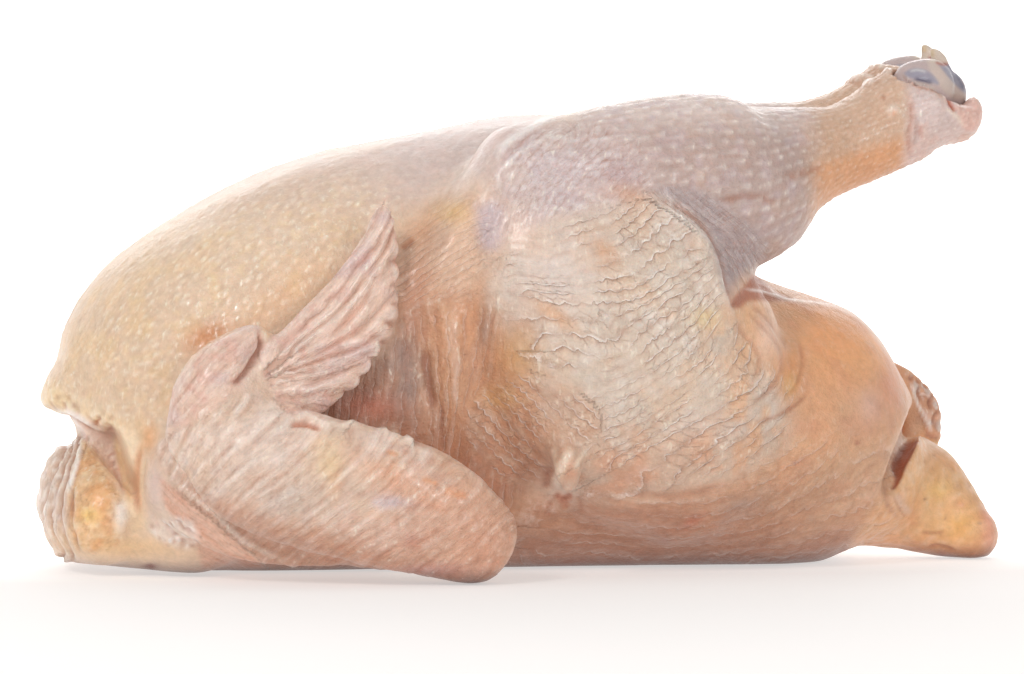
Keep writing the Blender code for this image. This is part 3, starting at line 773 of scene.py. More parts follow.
# Colours: a wash over each part, then clouds of other colours in it, of several sizes
MEMBRANE = [(66, 408), (84, 416), (98, 424), (114, 428), (119, 452), (124, 470), (126, 496), (112, 482)]
MEMBRANE += [(100, 464), (86, 443)]
FLAP = [(38, 386), (46, 380), (60, 386), (76, 398), (96, 408), (116, 416), (114, 430), (98, 428), (84, 421)]
FLAP += [(68, 413), (55, 411), (40, 406)]
COLUMN = [(112, 424), (140, 415), (158, 430), (150, 460), (146, 500), (144, 530), (120, 530), (125, 495)]
COLUMN += [(122, 465)]
COLUMN_EDGE = [(112, 426), (136, 432), (140, 470), (138, 512), (128, 508), (121, 466)]
HOCK = [(904, 66), (925, 80), (948, 98), (960, 90), (985, 108), (985, 130), (940, 152), (905, 168)]
HOCK += [(910, 118)]
CUT_END = [(956, 97), (968, 93), (983, 108), (983, 125), (966, 131), (957, 114)]
SPARKLY = [(150, 527), (165, 520), (192, 519), (198, 535), (195, 546), (178, 548), (160, 540)]
SLIT = [(918, 440), (907, 441), (900, 450), (895, 458), (892, 466), (894, 478), (892, 488), (896, 487)]
SLIT += [(900, 479), (904, 468), (910, 456)]
CROTCH = [(730, 306), (735, 297), (745, 285), (757, 274), (772, 288), (792, 298), (775, 301), (752, 300)]
CROTCH += [(740, 308)]
BRUISED = [(475, 207), (492, 202), (506, 212), (504, 236), (494, 250), (480, 244)]
LIP = [(906, 374), (930, 378), (946, 400), (944, 436), (926, 436), (922, 412), (912, 392)]
membrane = bird.patch(MEMBRANE, 3) * trunk
flap = bird.patch(FLAP, 9) * trunk
column = bird.patch(COLUMN, 7) * trunk
hock = bird.patch(HOCK, 10) * body
sparkly = bird.patch(SPARKLY, 5) * body
lip = bird.patch(LIP, 3) * eased(places[:, 1], 4, 10)
slit = bird.patch(SLIT, 2.5)
crotch = bird.patch(CROTCH, 4) * body
height -= 0.5 * crotch + 0.8 * slit

# Soft lumps of meat and fat below the skin, and its own finer unevenness
LUMPS = (
    # where they are, how far they stand out and how wide they are in mm, and the seed of their chance
    (on_shank, 0.20, 9.0, 52),
    (tight, 0.30, 11.0, 71),
    (tight, 0.10, 2.4, 72),
    (thigh, 0.25, 8.0, 85),
    (thigh, 0.12, 3.0, 86),
    (belly, 0.25, 11.0, 92),
    (belly, 0.10, 3.0, 93),
    (tail, 0.30, 7.0, 111),
    (tail, 0.22, 2.6, 112),
    (wing * (1 - 0.6 * hand), 0.40, 7.0, 122),
    (wing * (1 - 0.6 * hand), 0.14, 2.8, 123),
    (flank + stretch, 0.30, 9.0, 124),
    (fat, 0.50, 6.0, 125),
    (sparkly, 0.60, 1.8, 126),
    (flap, 0.50, 2.2, 127),
    (flap, 0.30, 5.0, 128),
    (lip, 1.00, 4.0, 129),
    (lip, 0.60, 1.9, 130),
)
for where, stands_out, wide, seed in LUMPS:
    height += where * stands_out * ripple(flow, wide, seed)


def above(upper_row, lower_row):
    """1 above the upper row of the picture, and 0 below the lower one."""
    return eased(-down, -lower_row, -upper_row)


def below(upper_row, lower_row):
    return eased(down, upper_row, lower_row)


def left_of(first_column, last_column):
    """1 on the left of the first column of the picture, and 0 on the right of the last one."""
    return eased(-across, -last_column, -first_column)


def right_of(first_column, last_column):
    return eased(across, first_column, last_column)


swells = [ripple(near_side, 14, 401)]
swells += [ripple(flow, wide, seed) for wide, seed in ((6, 402), (3, 403), (1.8, 404))]
swells += [drawn]
under_ankle = right_of(800, 830) * eased(down - 0.3 * (870 - across), 138, 158)
by_elbow, at_elbow = eased(across + down, 800, 900), eased(across + down, 830, 980)
under_forearm = eased(down - 0.3 * across, 418, 450)
WASHES = (
    # what is washed, the number of the swells that its colour follows (None: it lies all over), colour
    # and strength
    (breast, None, (223, 194, 166), 0.9),
    (breast * above(120, 250), None, (204, 177, 166), 0.85),
    (breast * right_of(330, 430) * above(180, 230), None, (210, 190, 184), 0.7),
    (breast * left_of(60, 200), None, (222, 190, 156), 0.7),
    (breast, 0, (230, 206, 184), 0.35),
    (breast * below(180, 320), 1, (234, 196, 142), 0.35),
    (breast * above(160, 240), 1, ROSE, 0.10),
    (dense, 3, (236, 206, 154), 0.25),
    (dense * breast_dot, None, (246, 230, 206), 0.45),
    (shank, None, (182, 158, 150), 0.95),
    (shank * above(95, 150), None, (228, 211, 203), 0.85),
    (shank, 1, (202, 170, 152), 0.4),
    (shank, 2, LILAC, 0.35),
    (on_shank * shank_dot, None, (222, 204, 194), 0.35),
    (on_shank * (1 - shank_dot), 3, (170, 142, 132), 0.2),
    (fan, None, (168, 150, 150), 0.75),
    (fan, 4, (204, 190, 188), 0.4),
    (shank * right_of(795, 830), None, (206, 168, 138), 0.85),
    (shank * under_ankle, None, (222, 156, 104), 0.7),
    (knee, None, (203, 180, 172), 0.85),
    (knee, 1, LILAC, 0.4),
    (knee, 3, WHITE, 0.3),
    (stretch, None, (220, 180, 150), 0.7),
    (stretch, 1, (206, 182, 166), 0.5),
    (stretch, 4, (196, 150, 120), 0.4),
    (flank, None, (206, 154, 118), 0.95),
    # Painted shade: the flank in the valley behind the wing is washed darker on its left and towards the
    # bottom
    (flank * left_of(402, 440) * below(290, 330), None, (142, 110, 98), 0.75),
    (flank * below(380, 470), None, (176, 118, 88), 0.85),
    (flank, 1, ORANGE, 0.15),
    (flank, 2, BROWN, 0.25),
    (flank, 4, (164, 108, 82), 0.25),
    (thigh, None, (210, 190, 172), 0.95),
    (thigh * above(220, 265), None, (202, 180, 168), 0.5),
    (thigh, 0, (211, 194, 179), 0.6),
    (thigh, 1, (226, 184, 146), 0.3),
    (thigh, 2, (220, 208, 198), 0.4),
    (thigh * bird.spot(555, 275, 50, 45), None, (222, 206, 200), 0.5),
    (thigh * below(400, 480), None, (204, 158, 126), 0.5),
    (thigh * below(400, 480), 1, (208, 138, 106), 0.4),
    (thigh * right_of(680, 760), 1, (230, 174, 124), 0.5),
    (scales, None, (192, 144, 114), 0.5),
    (scales, 2, (214, 184, 158), 0.4),
    (belly, None, (212, 162, 124), 0.95),
    (belly * above(340, 420), None, (226, 176, 132), 0.7),
    (belly * above(330, 400) * right_of(790, 830), None, (234, 168, 110), 0.8),
    (belly, 0, ORANGE, 0.25),
    (belly, 1, (204, 140, 112), 0.3),
    (belly * below(430, 520), 2, (160, 124, 100), 0.3),
    (bird.spot(810, 490, 60, 26, -30) * body, None, (168, 138, 112), 0.45),
    # Darker towards the belly's bottom: partly the skin's own browner colour, partly painted shade
    (belly * below(455, 540), None, BROWN, 0.8),
    (belly * below(440, 500), 4, (206, 158, 128), 0.4),
    # Darker still by the floor: partly the skin's own colour, partly painted shade
    (belly * below(515, 555), None, (140, 90, 70), 0.6),
    (crotch, None, (168, 100, 78), 0.85),
    (tail, None, (218, 168, 120), 0.95),
    (tail, 1, ORANGE, 0.3),
    (tail, 0, (238, 194, 136), 0.3),
    (tail, 2, (236, 196, 160), 0.35),
    (tail * below(525, 560), None, (212, 140, 102), 0.6),
    (slit, None, (180, 92, 60), 0.95),
    (neck, None, (210, 180, 158), 0.9),
    (neck, 3, WHITE, 0.4),
    (bird.spot(120, 546, 80, 16, 3) * trunk, None, (236, 196, 144), 0.75),
    (fat, None, (228, 186, 138), 0.9),
    (fat, 3, (248, 224, 180), 0.5),
    (fat, 2, (226, 150, 84), 0.4),
    (column, None, (232, 200, 162), 0.9),
    (column, 1, (226, 172, 122), 0.35),
    # Painted light: the column's edge faces into the neck's recess and lies in shade, so it is painted pale
    (bird.patch(COLUMN_EDGE, 4) * trunk, None, (250, 224, 190), 0.9),
    (flap, None, (238, 210, 164), 0.7),
    (flap, 2, WHITE, 0.2),
    (membrane, None, (234, 208, 192), 0.95),
    (hock, None, (212, 192, 188), 0.9),
    (hock, 2, (222, 180, 164), 0.4),
    (bird.patch(CUT_END, 2) * body, None, (224, 182, 168), 0.9),
    (lip, None, (212, 156, 122), 0.9),
    (lip, 3, (176, 148, 132), 0.7),
    (lip * eased(swells[3], 0.2, 0.5), None, WHITE, 0.4),
    (web, None, (226, 180, 156), 0.85),
    (web, 4, (214, 150, 120), 0.5),
    (sparkly, None, (232, 212, 200), 0.6),
    (sparkly, 3, WHITE, 0.7),
    (wing, None, (224, 194, 172), 0.9),
    (forearm, None, (214, 186, 164), 0.6),
    (wing, 1, (224, 176, 142), 0.4),
    (wing, 0, (216, 196, 188), 0.4),
    (wing, 2, (206, 184, 176), 0.3),
    (wing, 4, (244, 226, 214), 0.4),
    (hand + thumb, None, (226, 190, 172), 0.55),
    (hand + thumb, 2, (220, 164, 146), 0.45),
    (hand + thumb, 1, (202, 178, 184), 0.4),
    (forearm * at_elbow, None, (208, 158, 130), 0.7),
    (forearm * by_elbow, 2, (214, 146, 112), 0.3),
    (forearm * under_forearm, None, (190, 136, 110), 0.65),
    (bird.patch(BRUISED, 9) * body, None, (196, 178, 184), 0.85),
)
for mask, number, colour, strength in WASHES:
    if number is None:
        bird.wash(mask, colour, strength)
    else:
        bird.clouds(mask, swells[number], colour, strength)

# Single folds, seams and stains, and some painted highlights and painted shade, drawn as strokes:
# the points, the width in pixels (or the widths to the right and to the left), how far they stand out
# in mm, and their colour and its strength
BODY_MARKS = (
    # The shaded valley behind the wing: a shallow dip, painted grey as painted shade
    ([(400, 330), (406, 370), (412, 410)], 9, -0.4, GREY, 0.7),
    ([(400, 250), (408, 244), (415, 238)], 3, -0.5, BROWN, 0.8),
    ([(449, 300), (452, 340), (455, 390), (452, 420)], 10, 0.8, TAN, 0.5),
    (
        [(655, 200), (683, 216), (703, 234), (716, 262), (723, 292), (733, 318), (742, 332)],
        (12, 3),
        1.0,
        None,
        0,
    ),
    ([(655, 199), (685, 214), (706, 233), (720, 262), (727, 292), (738, 316)], (3, 4), -0.5, MAUVE, 0.5),
    ([(740, 288), (760, 290), (775, 295), (790, 301), (800, 306)], 1.5, 0.2, WHITE, 0.5),
    ([(590, 497), (620, 499), (660, 498), (700, 492), (735, 478)], (4, 7), -0.5, BROWN, 0.35),
    ([(42, 405), (55, 411), (70, 413), (84, 421), (98, 428), (112, 430)], (2, 3), 0.5, WHITE, 0.45),
    ([(44, 409), (56, 414), (70, 416), (84, 424), (98, 432)], 1.5, -0.3, BROWN, 0.4),
    # A painted highlight: a white line along the fat lump's raised left edge
    ([(83, 441), (80, 455), (77, 468), (73, 483), (69, 497)], 1.8, 0.5, WHITE, 0.9),
    ([(86, 441), (100, 462), (112, 479), (124, 494)], 2.5, 0.3, FAT_YELLOW, 0.6),
    ([(113, 428), (118, 450), (122, 468), (126, 490), (130, 515)], 3, 0.5, YELLOW, 0.7),
    ([(143, 440), (137, 465), (136, 490), (139, 520)], 4, -0.6, ORANGE, 0.6),
    ([(98, 421), (103, 424), (108, 430)], 4, 0.8, PEACH, 0.6),
    ([(97, 419), (98, 425)], 2.5, -0.3, ORANGE, 0.8),
    ([(119, 500), (122, 512), (124, 525)], 5, 0.0, WHITE, 0.45),
    ([(148, 569), (154, 566)], 4, 0.0, RED, 0.6),
    # Painted highlights: the belly edge's white line runs on over the lip, with a short one across it
    ([(909, 380), (915, 395), (920, 410), (928, 425), (934, 434)], 1.5, 0.3, WHITE, 0.7),
    ([(918, 395), (926, 394), (934, 400)], 1.5, 0.3, WHITE, 0.4),
    ([(921, 384), (918, 392), (921, 400)], 1.5, -0.6, (150, 90, 66), 0.6),
    ([(934, 394), (929, 403), (931, 412)], 1.5, -0.6, (150, 90, 66), 0.6),
    ([(940, 409), (933, 416), (932, 426)], 1.5, -0.6, (150, 90, 66), 0.5),
    ([(935, 552), (944, 558), (955, 563)], 5, 0.3, (196, 100, 66), 0.8),
    ([(962, 563), (972, 562), (982, 563)], 4, 0.3, (196, 110, 76), 0.7),
    ([(925, 547), (940, 545), (958, 551)], 2, -0.4, BROWN, 0.5),
    ([(918, 532), (935, 533), (948, 530)], 2, -0.3, BROWN, 0.35),
    ([(985, 500), (990, 530), (990, 555)], 6, 0.0, ROSE, 0.6),
    # A painted highlight: a white line along the belly's upper right edge
    ([(757, 272), (782, 297), (830, 305), (860, 320), (880, 342), (907, 378)], (3, 2), 0.3, WHITE, 0.5),
    # Painted contact shadow: a dark band along the belly's bottom, by the floor
    ([(540, 552), (620, 563), (700, 560), (800, 560), (862, 545)], 6, 0.0, DARK, 0.35),
    (
        [(905, 92), (910, 104), (911, 118), (908, 135), (909, 150), (907, 162)],
        (2.5, 4),
        -0.4,
        (214, 168, 154),
        0.45,
    ),
    ([(917, 112), (916, 130), (914, 150)], 2, -0.3, MAUVE, 0.5),
    ([(920, 124), (920, 140)], 3, -0.2, (196, 150, 140), 0.6),
    ([(904, 72), (913, 84), (926, 89), (937, 92), (946, 103)], 1.6, -0.2, BROWN, 0.6),
    ([(947, 92), (950, 102), (956, 113)], 2.2, -0.8, (196, 84, 56), 0.9),
    ([(944, 106), (956, 116), (966, 128)], 2, 0.3, CREAM, 0.7),
    ([(881, 95), (886, 101)], 1.8, -0.2, BROWN, 0.7),
    ([(872, 72), (882, 68), (892, 74)], 3.5, 0.9, PINK, 0.5),
    ([(860, 86), (868, 82), (876, 84)], 3.5, 0.8, PINK, 0.4),
    # A real fold groove in the shaded valley behind the wing, painted dark as painted shade
    ([(422, 345), (425, 370), (430, 395), (433, 414)], (3, 7), -0.9, (120, 86, 72), 0.65),
    ([(440, 400), (442, 430), (443, 455)], (2, 3), -0.4, (136, 94, 76), 0.5),
    # Painted highlights: white lines along the knee's glossy front ridge
    ([(495, 160), (505, 147), (520, 136), (538, 126), (560, 117)], (3, 5), 0.6, WHITE, 0.55),
    ([(500, 172), (514, 158), (532, 146), (552, 138)], (2, 3), 0.3, WHITE, 0.35),
    ([(715, 205), (740, 198), (765, 199), (782, 204)], (5, 6), -0.4, (166, 130, 116), 0.4),
    ([(780, 180), (805, 172), (828, 168)], (4, 5), -0.3, (176, 134, 112), 0.4),
    (
        [(738, 307), (750, 316), (767, 332), (779, 350), (780, 372), (766, 392), (748, 408)],
        (2, 4),
        -0.25,
        (186, 132, 104),
        0.55,
    ),
    ([(748, 303), (764, 316), (778, 334), (790, 352)], (2, 3), -0.3, (196, 140, 108), 0.4),
    ([(733, 312), (741, 332), (755, 348), (758, 368), (745, 392)], (2, 3), -0.2, (186, 132, 104), 0.4),
    ([(797, 335), (802, 360), (797, 382), (785, 400)], (2, 3), -0.3, (196, 136, 100), 0.45),
    ([(752, 425), (783, 414), (802, 400), (812, 388)], (2, 3), -0.3, (180, 126, 98), 0.45),
    ([(574, 446), (567, 458), (561, 470), (557, 481), (556, 491)], (6, 5), 1.1, (232, 206, 178), 0.65),
    ([(588, 448), (580, 458), (572, 472)], (2.5, 3), 0.4, (230, 208, 180), 0.35),
    ([(552, 446), (556, 458), (558, 470)], 3, 0.4, (228, 204, 176), 0.4),
    ([(550, 464), (547, 476), (545, 492)], (5, 6), -0.6, (164, 114, 92), 0.5),
    ([(552, 493), (562, 499), (574, 494)], 4, -0.5, (192, 108, 80), 0.6),
    ([(560, 498), (564, 504), (566, 510)], (4, 5), -0.4, (190, 116, 88), 0.5),
    ([(552, 498), (549, 508), (547, 518)], 3, -0.3, (170, 116, 92), 0.35),
    ([(576, 492), (580, 504), (582, 516)], 3, -0.3, (176, 122, 96), 0.35),
    ([(604, 493), (622, 499), (645, 501), (668, 499)], (3, 4), 0.4, (222, 192, 164), 0.4),
    ([(907, 441), (900, 450), (895, 459), (893, 468), (895, 480)], (1.5, 3), -0.3, (104, 48, 38), 0.8),
    ([(888, 478), (885, 492), (890, 508), (902, 522)], 3, -0.2, (184, 150, 138), 0.4),
    ([(896, 492), (902, 504), (912, 516)], (5, 4), 0.0, (206, 184, 176), 0.45),
    ([(893, 494), (898, 506), (906, 518)], 1.5, -0.2, (160, 118, 104), 0.35),
)
WING_MARKS = (
    ([(376, 421), (382, 427), (389, 432)], 2.5, 1.2, CREAM, 0.5),
    ([(403, 436), (409, 440), (415, 446)], 2.5, 1.0, CREAM, 0.5),
    (
        [(316, 416), (338, 425), (360, 421), (378, 423), (386, 431), (413, 444), (445, 460)],
        (5, 2),
        0.7,
        CREAM,
        0.7,
    ),
    ([(445, 460), (470, 473), (485, 485), (503, 505)], (5, 2), 0.3, CREAM, 0.3),
    ([(290, 417), (305, 416), (318, 421), (334, 431)], 3, 0.6, (232, 206, 188), 0.6),
    ([(288, 427), (300, 424), (312, 427), (323, 433)], (2.5, 3), -0.8, (210, 128, 94), 0.65),
    ([(257, 325), (261, 340), (258, 352), (252, 362), (240, 378), (228, 388)], (2.5, 4), -1.2, RED, 0.55),
    ([(265, 344), (285, 320), (305, 299), (325, 280), (345, 256), (362, 232)], 3, 0.2, WHITE, 0.4),
    ([(160, 470), (180, 487), (220, 517), (240, 537), (262, 550), (292, 565)], 3, 0.5, CREAM, 0.5),
    ([(368, 500), (385, 505), (402, 503)], 5, 0.0, LILAC, 0.5),
    ([(385, 452), (400, 455)], 3, 0.0, ORANGE, 0.6),
    ([(420, 478), (440, 485)], 3, 0.0, ORANGE, 0.6),
    ([(440, 490), (470, 498)], 4, 0.0, ORANGE, 0.6),
)
for rows, mask in ((BODY_MARKS, trunk), (WING_MARKS, wing)):
    for points, widths, stands_out, colour, strength in rows:
        mark = bird.stroke(points, *np.broadcast_to(widths, 2)) * mask
        height += stands_out * mark
        if colour:
            bird.wash(mark, colour, strength)

BODY_SPOTS = (
    # stains, pores, warts and glistening bits: picture point, width, height, colour and its strength, and
    # where there is one their lean in degrees and how far they stand out in mm
    (280, 305, 70, 22, (228, 176, 130), 0.5, -42),
    (208, 337, 26, 14, (208, 142, 92), 1.0, -25),
    (565, 172, 45, 28, (206, 190, 194), 0.6, -20),
    (622, 178, 24, 22, (178, 152, 160), 0.5),
    (630, 195, 22, 10, TAN, 0.6, 20),
    (518, 228, 20, 26, (222, 190, 172), 0.6),
    (415, 290, 16, 45, (180, 122, 94), 0.6, 10),
    (420, 235, 30, 14, TAN, 0.7, -35),
    (452, 212, 18, 12, YELLOW, 0.6),
    (505, 360, 30, 50, (186, 130, 98), 0.7, 20),
    (520, 355, 22, 26, (212, 162, 100), 0.6),
    (500, 398, 22, 13, (212, 162, 100), 0.5),
    (470, 334, 9, 16, (214, 150, 104), 0.5),
    (483, 330, 7, 20, (150, 124, 112), 0.5),
    (366, 406, 30, 14, (204, 122, 96), 0.7),
    (605, 252, 18, 11, (208, 160, 124), 0.8, 40),
    (555, 315, 26, 8, (224, 164, 112), 0.65, 35),
    (740, 355, 14, 16, (226, 168, 118), 0.55),
    (705, 318, 14, 10, (230, 196, 120), 0.5),
    (610, 460, 18, 10, (218, 146, 106), 0.5),
    (700, 440, 60, 20, (214, 160, 128), 0.35, -30),
    (768, 335, 12, 28, (234, 200, 180), 0.7),
    (790, 370, 10, 20, (228, 150, 90), 0.6, 10),
    (790, 385, 8, 12, YELLOW, 0.5),
    (842, 340, 30, 30, (226, 158, 108), 0.5),
    (892, 385, 14, 34, (214, 140, 108), 0.6),
    (870, 405, 12, 18, (214, 176, 170), 0.4),
    (845, 505, 60, 12, (222, 180, 146), 0.4, -32),
    (744, 386, 12, 20, (220, 168, 128), 0.5),
    (650, 515, 100, 20, (180, 124, 98), 0.5, 3),
    (740, 505, 24, 10, GREY, 0.4, -10),
    (960, 525, 20, 16, (236, 178, 96), 0.65),
    (990, 522, 10, 30, (226, 152, 122), 0.5),
    (938, 490, 12, 12, (232, 186, 110), 0.6),
    (880, 520, 30, 20, (222, 160, 112), 0.4),
    (100, 500, 12, 16, (232, 160, 90), 0.75, 0, 0.5),
    (89, 515, 9, 8, (240, 200, 116), 0.8),
    (149, 440, 7, 16, (226, 156, 98), 0.6),
    (154, 484, 9, 28, (214, 186, 178), 0.7),
    (108, 436, 12, 8, (176, 130, 108), 0.6, 25),
    (120, 515, 7, 15, WHITE, 0.55, 0, 0.3),
    (925, 499, 1.8, 1.4, DARK, 0.5, 0, -0.2),
    (961, 505, 3.0, 2.4, (226, 150, 106), 0.6, 0, 0.3),
    (945, 518, 1.6, 1.3, BROWN, 0.5, 0, -0.2),
    (980, 523, 1.8, 1.8, GREY, 0.5, 0, -0.2),
    (918, 518, 1.8, 1.3, BROWN, 0.4, 0, -0.2),
    (934, 455, 1.6, 1.3, BROWN, 0.4, 0, -0.2),
    (924, 462, 1.5, 1.3, BROWN, 0.3, 0, -0.2),
    (857, 443, 3.5, 2.5, RED, 0.6),
    (795, 463, 3.0, 2.2, RED, 0.5),
    (665, 540, 4.0, 3.0, RED, 0.4),
    (692, 522, 12.0, 5.0, (190, 96, 70), 0.45, -30),
    (893, 110, 6.0, 5.0, CREAM, 0.7, 0, 0.8),
    (894, 113, 2.5, 2.5, ORANGE, 0.8),
    (150, 567, 8.0, 3.0, (120, 44, 34), 0.8, 0, -0.4),
)
WING_SPOTS = (
    (400, 482, 60, 14, (222, 160, 124), 0.6, 30),
    (295, 500, 40, 18, (178, 158, 146), 0.45, 10),
    (330, 460, 14, 24, (230, 196, 140), 0.5),
    (250, 440, 34, 26, (224, 200, 182), 0.4),
    (485, 545, 32, 44, (206, 152, 124), 0.75, 20),
    (412, 541, 12, 9, (178, 92, 72), 0.4),
    (430, 572, 40, 8, (196, 146, 140), 0.6, -3),
    (395, 501, 18, 5, LILAC, 0.6, 10),
    (385, 245, 12, 5, (206, 150, 122), 0.5, -60),
    (350, 317, 26, 4, (206, 144, 116), 0.6, -45, -0.2),
    (325, 357, 26, 4, (206, 144, 116), 0.6, -20, -0.2),
    (340, 341, 18, 4, (206, 144, 116), 0.5, -32, -0.2),
)
for rows, mask in ((BODY_SPOTS, trunk), (WING_SPOTS, wing)):
    for u, v, wide, high, colour, strength, *more in rows:
        lean, stands_out = (*more, 0, 0)[:2]
        mark = bird.spot(u, v, wide, high, lean) * mask
        height += stands_out * mark
        bird.wash(mark, colour, strength)

# The ends of the long wing feathers' roots make notches in the hand's rear edge
NOTCHES = [(402, 242), (396, 258), (400, 296), (393, 316), (384, 336), (372, 363), (356, 387), (338, 404)]
NOTCH_STEP = 21.0
notch_line = smooth_line(NOTCHES)
which = bird.close_to(notch_line, 30)
aside, along, length = reach_to(notch_line, bird.flat[which])
tooth = np.abs(np.sin(np.pi * (along / NOTCH_STEP + 0.2 * warp[which, 0])))
jut = np.zeros(len(places))
jut[which] = np.exp(-((aside / 9.0) ** 2)) * (tooth - 0.6) * wing[which]
rim = np.zeros(len(places))
rim[which] = np.exp(-(((aside - 3.0) / 2.0) ** 2)) * wing[which]
bird.wash(rim, (244, 226, 216), 0.5)

low_down = eased(places[:, 2], 0.3, 3.0)
smooth_places = places.copy()
places = places + facing * (height * low_down)[:, None] + np.outer(jut * low_down, (1.3, 0.0, -0.5))
places[:, 2] = np.maximum(places[:, 2], 0.0)
low_corner, high_corner = (np.array(corner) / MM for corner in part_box("chicken"))
places = np.clip(places, low_corner, high_corner)
put_places(skin, places)

# How hollow the finished surface is at each place. Hollows and the seams between beads are painted darker,
# as painted shade, and ridges paler, as painted light.
edges = np.empty(len(skin.data.edges) * 2, np.int32)
skin.data.edges.foreach_get("vertices", edges)
edges = edges.reshape(-1, 2)
count = np.bincount(edges.ravel(), minlength=len(places))


def neighbours_mean(values):
    """The mean of each place's neighbours' values."""
    total = np.bincount(edges[:, 0], values[edges[:, 1]], len(places))
    total += np.bincount(edges[:, 1], values[edges[:, 0]], len(places))
    return total / np.maximum(count, 1)


relief = ((places - smooth_places) * facing).sum(axis=1)
around = relief
for _ in range(10):
    around = neighbours_mean(around)
hollow = np.clip((around - relief) / 0.35, -1, 1)
bird.wash(hollow, (170, 112, 88), 0.55)
bird.wash(-hollow, WHITE, 0.2)
bird.wash(beaded, (170, 122, 98), 0.22)
# Painted contact shadow: the skin darkens where it lies within a few millimetres of the floor
bird.wash(1 - eased(places[:, 2], 0.5, 6.0), (112, 66, 50), 0.75)
bird.wash(1 - eased(places[:, 2], 0.2, 1.8), (80, 46, 36), 0.6)
GLITTER_ALL_OVER = 0.05
GLITTER = ((dense, 0.45), (wing, 0.05), (knee, 0.3), (neck, 0.35), (fat, 0.5), (sparkly, 0.9), (thigh, 0.25))
glint = GLITTER_ALL_OVER + sum(share * where for where, share in GLITTER)
lay_vector(skin, "tone", bird.tone)
lay(skin, "wet", np.clip(0.5 - hollow, 0, 1))
lay(skin, "glint", np.clip(glint - hollow, 0, 1) * (1 - eased(down, 440, 540) * body * 0.8))
lay(skin, "crease_depth", crease_depth)
lay(skin, "streak_depth", streak_depth)
lay_vector(skin, "folds", folds)
lay_vector(skin, "streaks", streaks)

raw_skin, skin_shader, wire = new_material("raw_skin")


def attribute(name, out):
    return wire.node("ShaderNodeAttribute", {"attribute_name": name}, out=out)


def noise(vector, scale, detail, roughness):
    sockets = {"Vector": vector, "Scale": scale, "Detail": detail, "Roughness": roughness}
    return wire.node("ShaderNodeTexNoise", None, sockets)


place = wire.node("ShaderNodeTexCoord", out=3)
mottle = noise(place, 170.0, 4.0, 0.62)
speck = noise(place, 620.0, 3.0, 0.65)
grain = noise(place, 1500.0, 2.0, 0.6)
drawn_out = {"Vector": place, "Rotation": (0.0, 0.5, 0.0), "Scale": (1.0, 1.0, 0.4)}
glitter = noise(wire.node("ShaderNodeMapping", None, drawn_out), 900.0, 1.0, 0.5)
pores = {"Vector": place, "Scale": 480.0, "Randomness": 1.0}
net = wire.node("ShaderNodeTexVoronoi", {"feature": "DISTANCE_TO_EDGE"}, pores)

# A fold rises slowly and ends in a crease. Below its lip, and along the seams between its beads, the
# crease is painted dark as painted shade, and the lip is painted pale as a painted highlight. Where the
# skin stands out it glitters: painted glints in its colour, and a stronger coat.
fold_way = attribute("folds", 1)
fold = wire.node("ShaderNodeSeparateXYZ", None, {"Vector": fold_way}, out=2)
fold = fold + (speck - 0.5) * 0.2 + (mottle - 0.5) * 0.5
fold = fold.sum_of("FRACT", fold)
crease_depth = attribute("crease_depth", 2)
broken = ((mottle - 0.36) * 6.0).clipped()
under_lip = (1.0 - fold * 7.0).clipped() * crease_depth * broken
on_lip = (fold * 6.0 - 5.0).clipped() * crease_depth * broken
seams = {"Vector": fold_way, "Scale": 1.0, "Randomness": 0.9}
seam = wire.node("ShaderNodeTexVoronoi", {"voronoi_dimensions": "2D", "feature": "DISTANCE_TO_EDGE"}, seams)
seam = (1.0 - seam * 9.0).clipped() * crease_depth * ((speck - 0.42) * 6.0).clipped()
streak = (noise(attribute("streaks", 1), 1.0, 2.0, 0.6) - 0.5) * attribute("streak_depth", 2)
glint = ((glitter - 0.60) * 9.0).clipped() * attribute("glint", 2)

factor = (mottle - 0.5) * 0.32 + (speck - 0.5) * 0.40 + streak * 0.6 + 1.0
colour = wire.node("ShaderNodeVectorMath", {"operation": "SCALE"}, {0: attribute("tone", 1), "Scale": factor})
colour = ((speck - 0.60) * 1.3).clipped().mixed(colour, (*shade(*ROSE), 1.0))
colour = (on_lip * speck * 1.3).clipped().mixed(colour, (*shade(*WHITE), 1.0))
colour = (under_lip * 0.70 + seam * 0.45).clipped().mixed(colour, (*shade(158, 124, 104), 1.0))
colour = (glint * 0.6).clipped().mixed(colour, (*shade(252, 242, 222), 1.0))
relief_wire = net * 0.2 + grain * 0.45 + speck * 0.7 + streak * 1.2 + fold * crease_depth * broken * 0.7
relief_wire = relief_wire - under_lip * 0.5 - seam * 0.5
bumps = wire.node("ShaderNodeBump", None, {"Strength": 0.9, "Distance": 0.0005, "Height": relief_wire})
fill(
    skin_shader,
    {
        "Base Color": colour,
        "Roughness": (mottle * 0.35 + 0.30).clipped(),
        "Subsurface Weight": 0.15,
        "Subsurface Radius": (1.0, 0.45, 0.28),
        "Subsurface Scale": 0.0015,
        "Coat Weight": (attribute("wet", 2) * speck * 0.8 + glint * 0.5).clipped(),
        "Coat Roughness": 0.2,
        "Sheen Weight": 0.12,
        "Sheen Roughness": 0.35,
        "Normal": bumps,
    },
)
skin.data.materials.clear()
skin.data.materials.append(raw_skin)
skin.data.shade_smooth()
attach(skin, "root")
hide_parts("chicken")

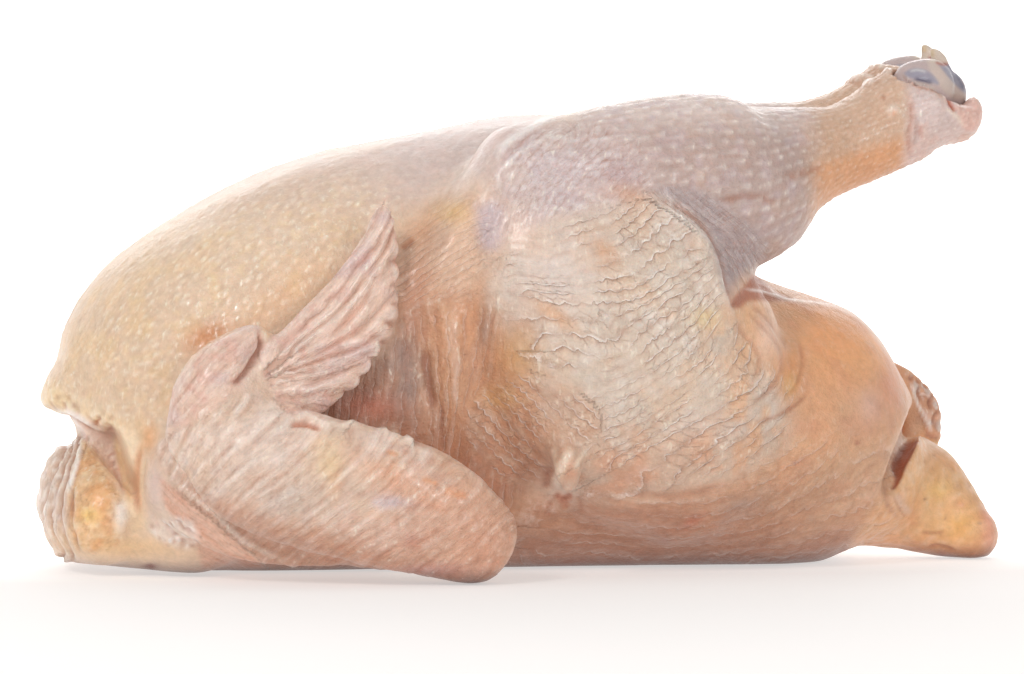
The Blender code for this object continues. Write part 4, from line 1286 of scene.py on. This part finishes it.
# The cut ends of the shin bones
# Each drumstick's bone ends at the hock in two rounded knuckles that gristle covers, blue-grey and
# slippery, with cream tissue between them and a stub of tendon. The shaft runs on inside the meat.
KNUCKLE_VOXEL, KNUCKLE_ROUNDS = 0.5, 2
BONE_PINK, BLUE_GREY, DEEP_BLUE, TISSUE = (214, 192, 188), (168, 164, 180), (108, 102, 124), (226, 206, 194)
NEAR_KNUCKLE = [(904, 73), (911, 69), (922, 69), (932, 74), (939, 84), (930, 82), (918, 80), (908, 77)]
FAR_KNUCKLE = [(938, 63), (953, 63), (961, 80), (968, 94), (957, 86), (946, 74)]
BAND = [(926, 60), (936, 62), (948, 76), (960, 90), (968, 99), (954, 99), (943, 90), (933, 76)]
TENDON = [(929, 42), (944, 48), (951, 63), (937, 63), (929, 60)]
KNUCKLE_STROKES = (
    # points, width in pixels, mm, colour and strength
    # Painted shade: a dark crescent across the near knuckle's lower middle
    ([(912, 79), (922, 80), (935, 83)], 2.2, -0.2, DEEP_BLUE, 0.9),
    # A painted highlight: a white rim along the near knuckle's top
    ([(908, 72), (918, 70), (928, 73)], 1.4, 0.1, WHITE, 0.5),
    ([(910, 82), (924, 87), (938, 91)], 3.0, 0.3, TISSUE, 0.8),
    ([(955, 70), (961, 82), (965, 92)], 2.5, 0.0, DEEP_BLUE, 0.8),
    ([(934, 61), (942, 64), (950, 64)], 1.8, -0.2, (190, 110, 90), 0.8),
    ([(932, 48), (932, 58)], 2.5, 0.0, (228, 200, 150), 0.6),
    ([(900, 72), (912, 85), (926, 90)], 1.5, -0.2, BROWN, 0.5),
)
bone_surface, bone_shader, wire = new_material("gristle")
cloud = wire.node("ShaderNodeTexNoise", None, {"Scale": 260.0, "Detail": 3.0})
grain = wire.node("ShaderNodeTexNoise", None, {"Scale": 900.0, "Detail": 2.0})
colour = {0: attribute("tone", 1), "Scale": cloud * 0.4 + 0.8}
relief = {"Strength": 0.9, "Distance": 0.0005, "Height": cloud + grain * 0.4}
fill(
    bone_shader,
    {
        "Base Color": wire.node("ShaderNodeVectorMath", {"operation": "SCALE"}, colour),
        "Roughness": cloud * 0.3 + 0.2,
        "Subsurface Weight": 0.15,
        "Subsurface Radius": (1.0, 0.6, 0.5),
        "Subsurface Scale": 0.001,
        "Specular IOR Level": 0.35,
        "Coat Weight": 0.25,
        "Coat Roughness": 0.2,
        "Normal": wire.node("ShaderNodeBump", None, relief),
    },
)
for side in ("right", "left"):
    knuckle = even_copy(f"{side}_shin_bone", f"{side}_knuckles", KNUCKLE_VOXEL, KNUCKLE_ROUNDS)
    places = numbers(knuckle.data.vertices, "co", 3) / MM
    facing = numbers(knuckle.data.vertex_normals, "vector", 3)
    gristle = Canvas(on_the_near_side(places), BONE_PINK)
    gristle.wash(gristle.patch(BAND, 2.0), TISSUE, 0.9)
    gristle.wash(gristle.patch(NEAR_KNUCKLE, 2.0), BLUE_GREY, 0.9)
    gristle.wash(gristle.patch(FAR_KNUCKLE, 2.0), BLUE_GREY, 0.95)
    gristle.wash(gristle.patch(TENDON, 2.0), (236, 218, 200), 0.9)
    height = np.zeros(len(places))
    for points, width, stands_out, colour, strength in KNUCKLE_STROKES:
        mark = gristle.stroke(points, width)
        height += stands_out * mark
        gristle.wash(mark, colour, strength)
    low_corner, high_corner = (np.array(corner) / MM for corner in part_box(f"{side}_shin_bone"))
    put_places(knuckle, np.clip(places + facing * height[:, None], low_corner, high_corner))
    lay_vector(knuckle, "tone", gristle.tone)
    knuckle.data.materials.clear()
    knuckle.data.materials.append(bone_surface)
    knuckle.data.shade_smooth()
    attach(knuckle, "root")
    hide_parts(f"{side}_shin_bone")
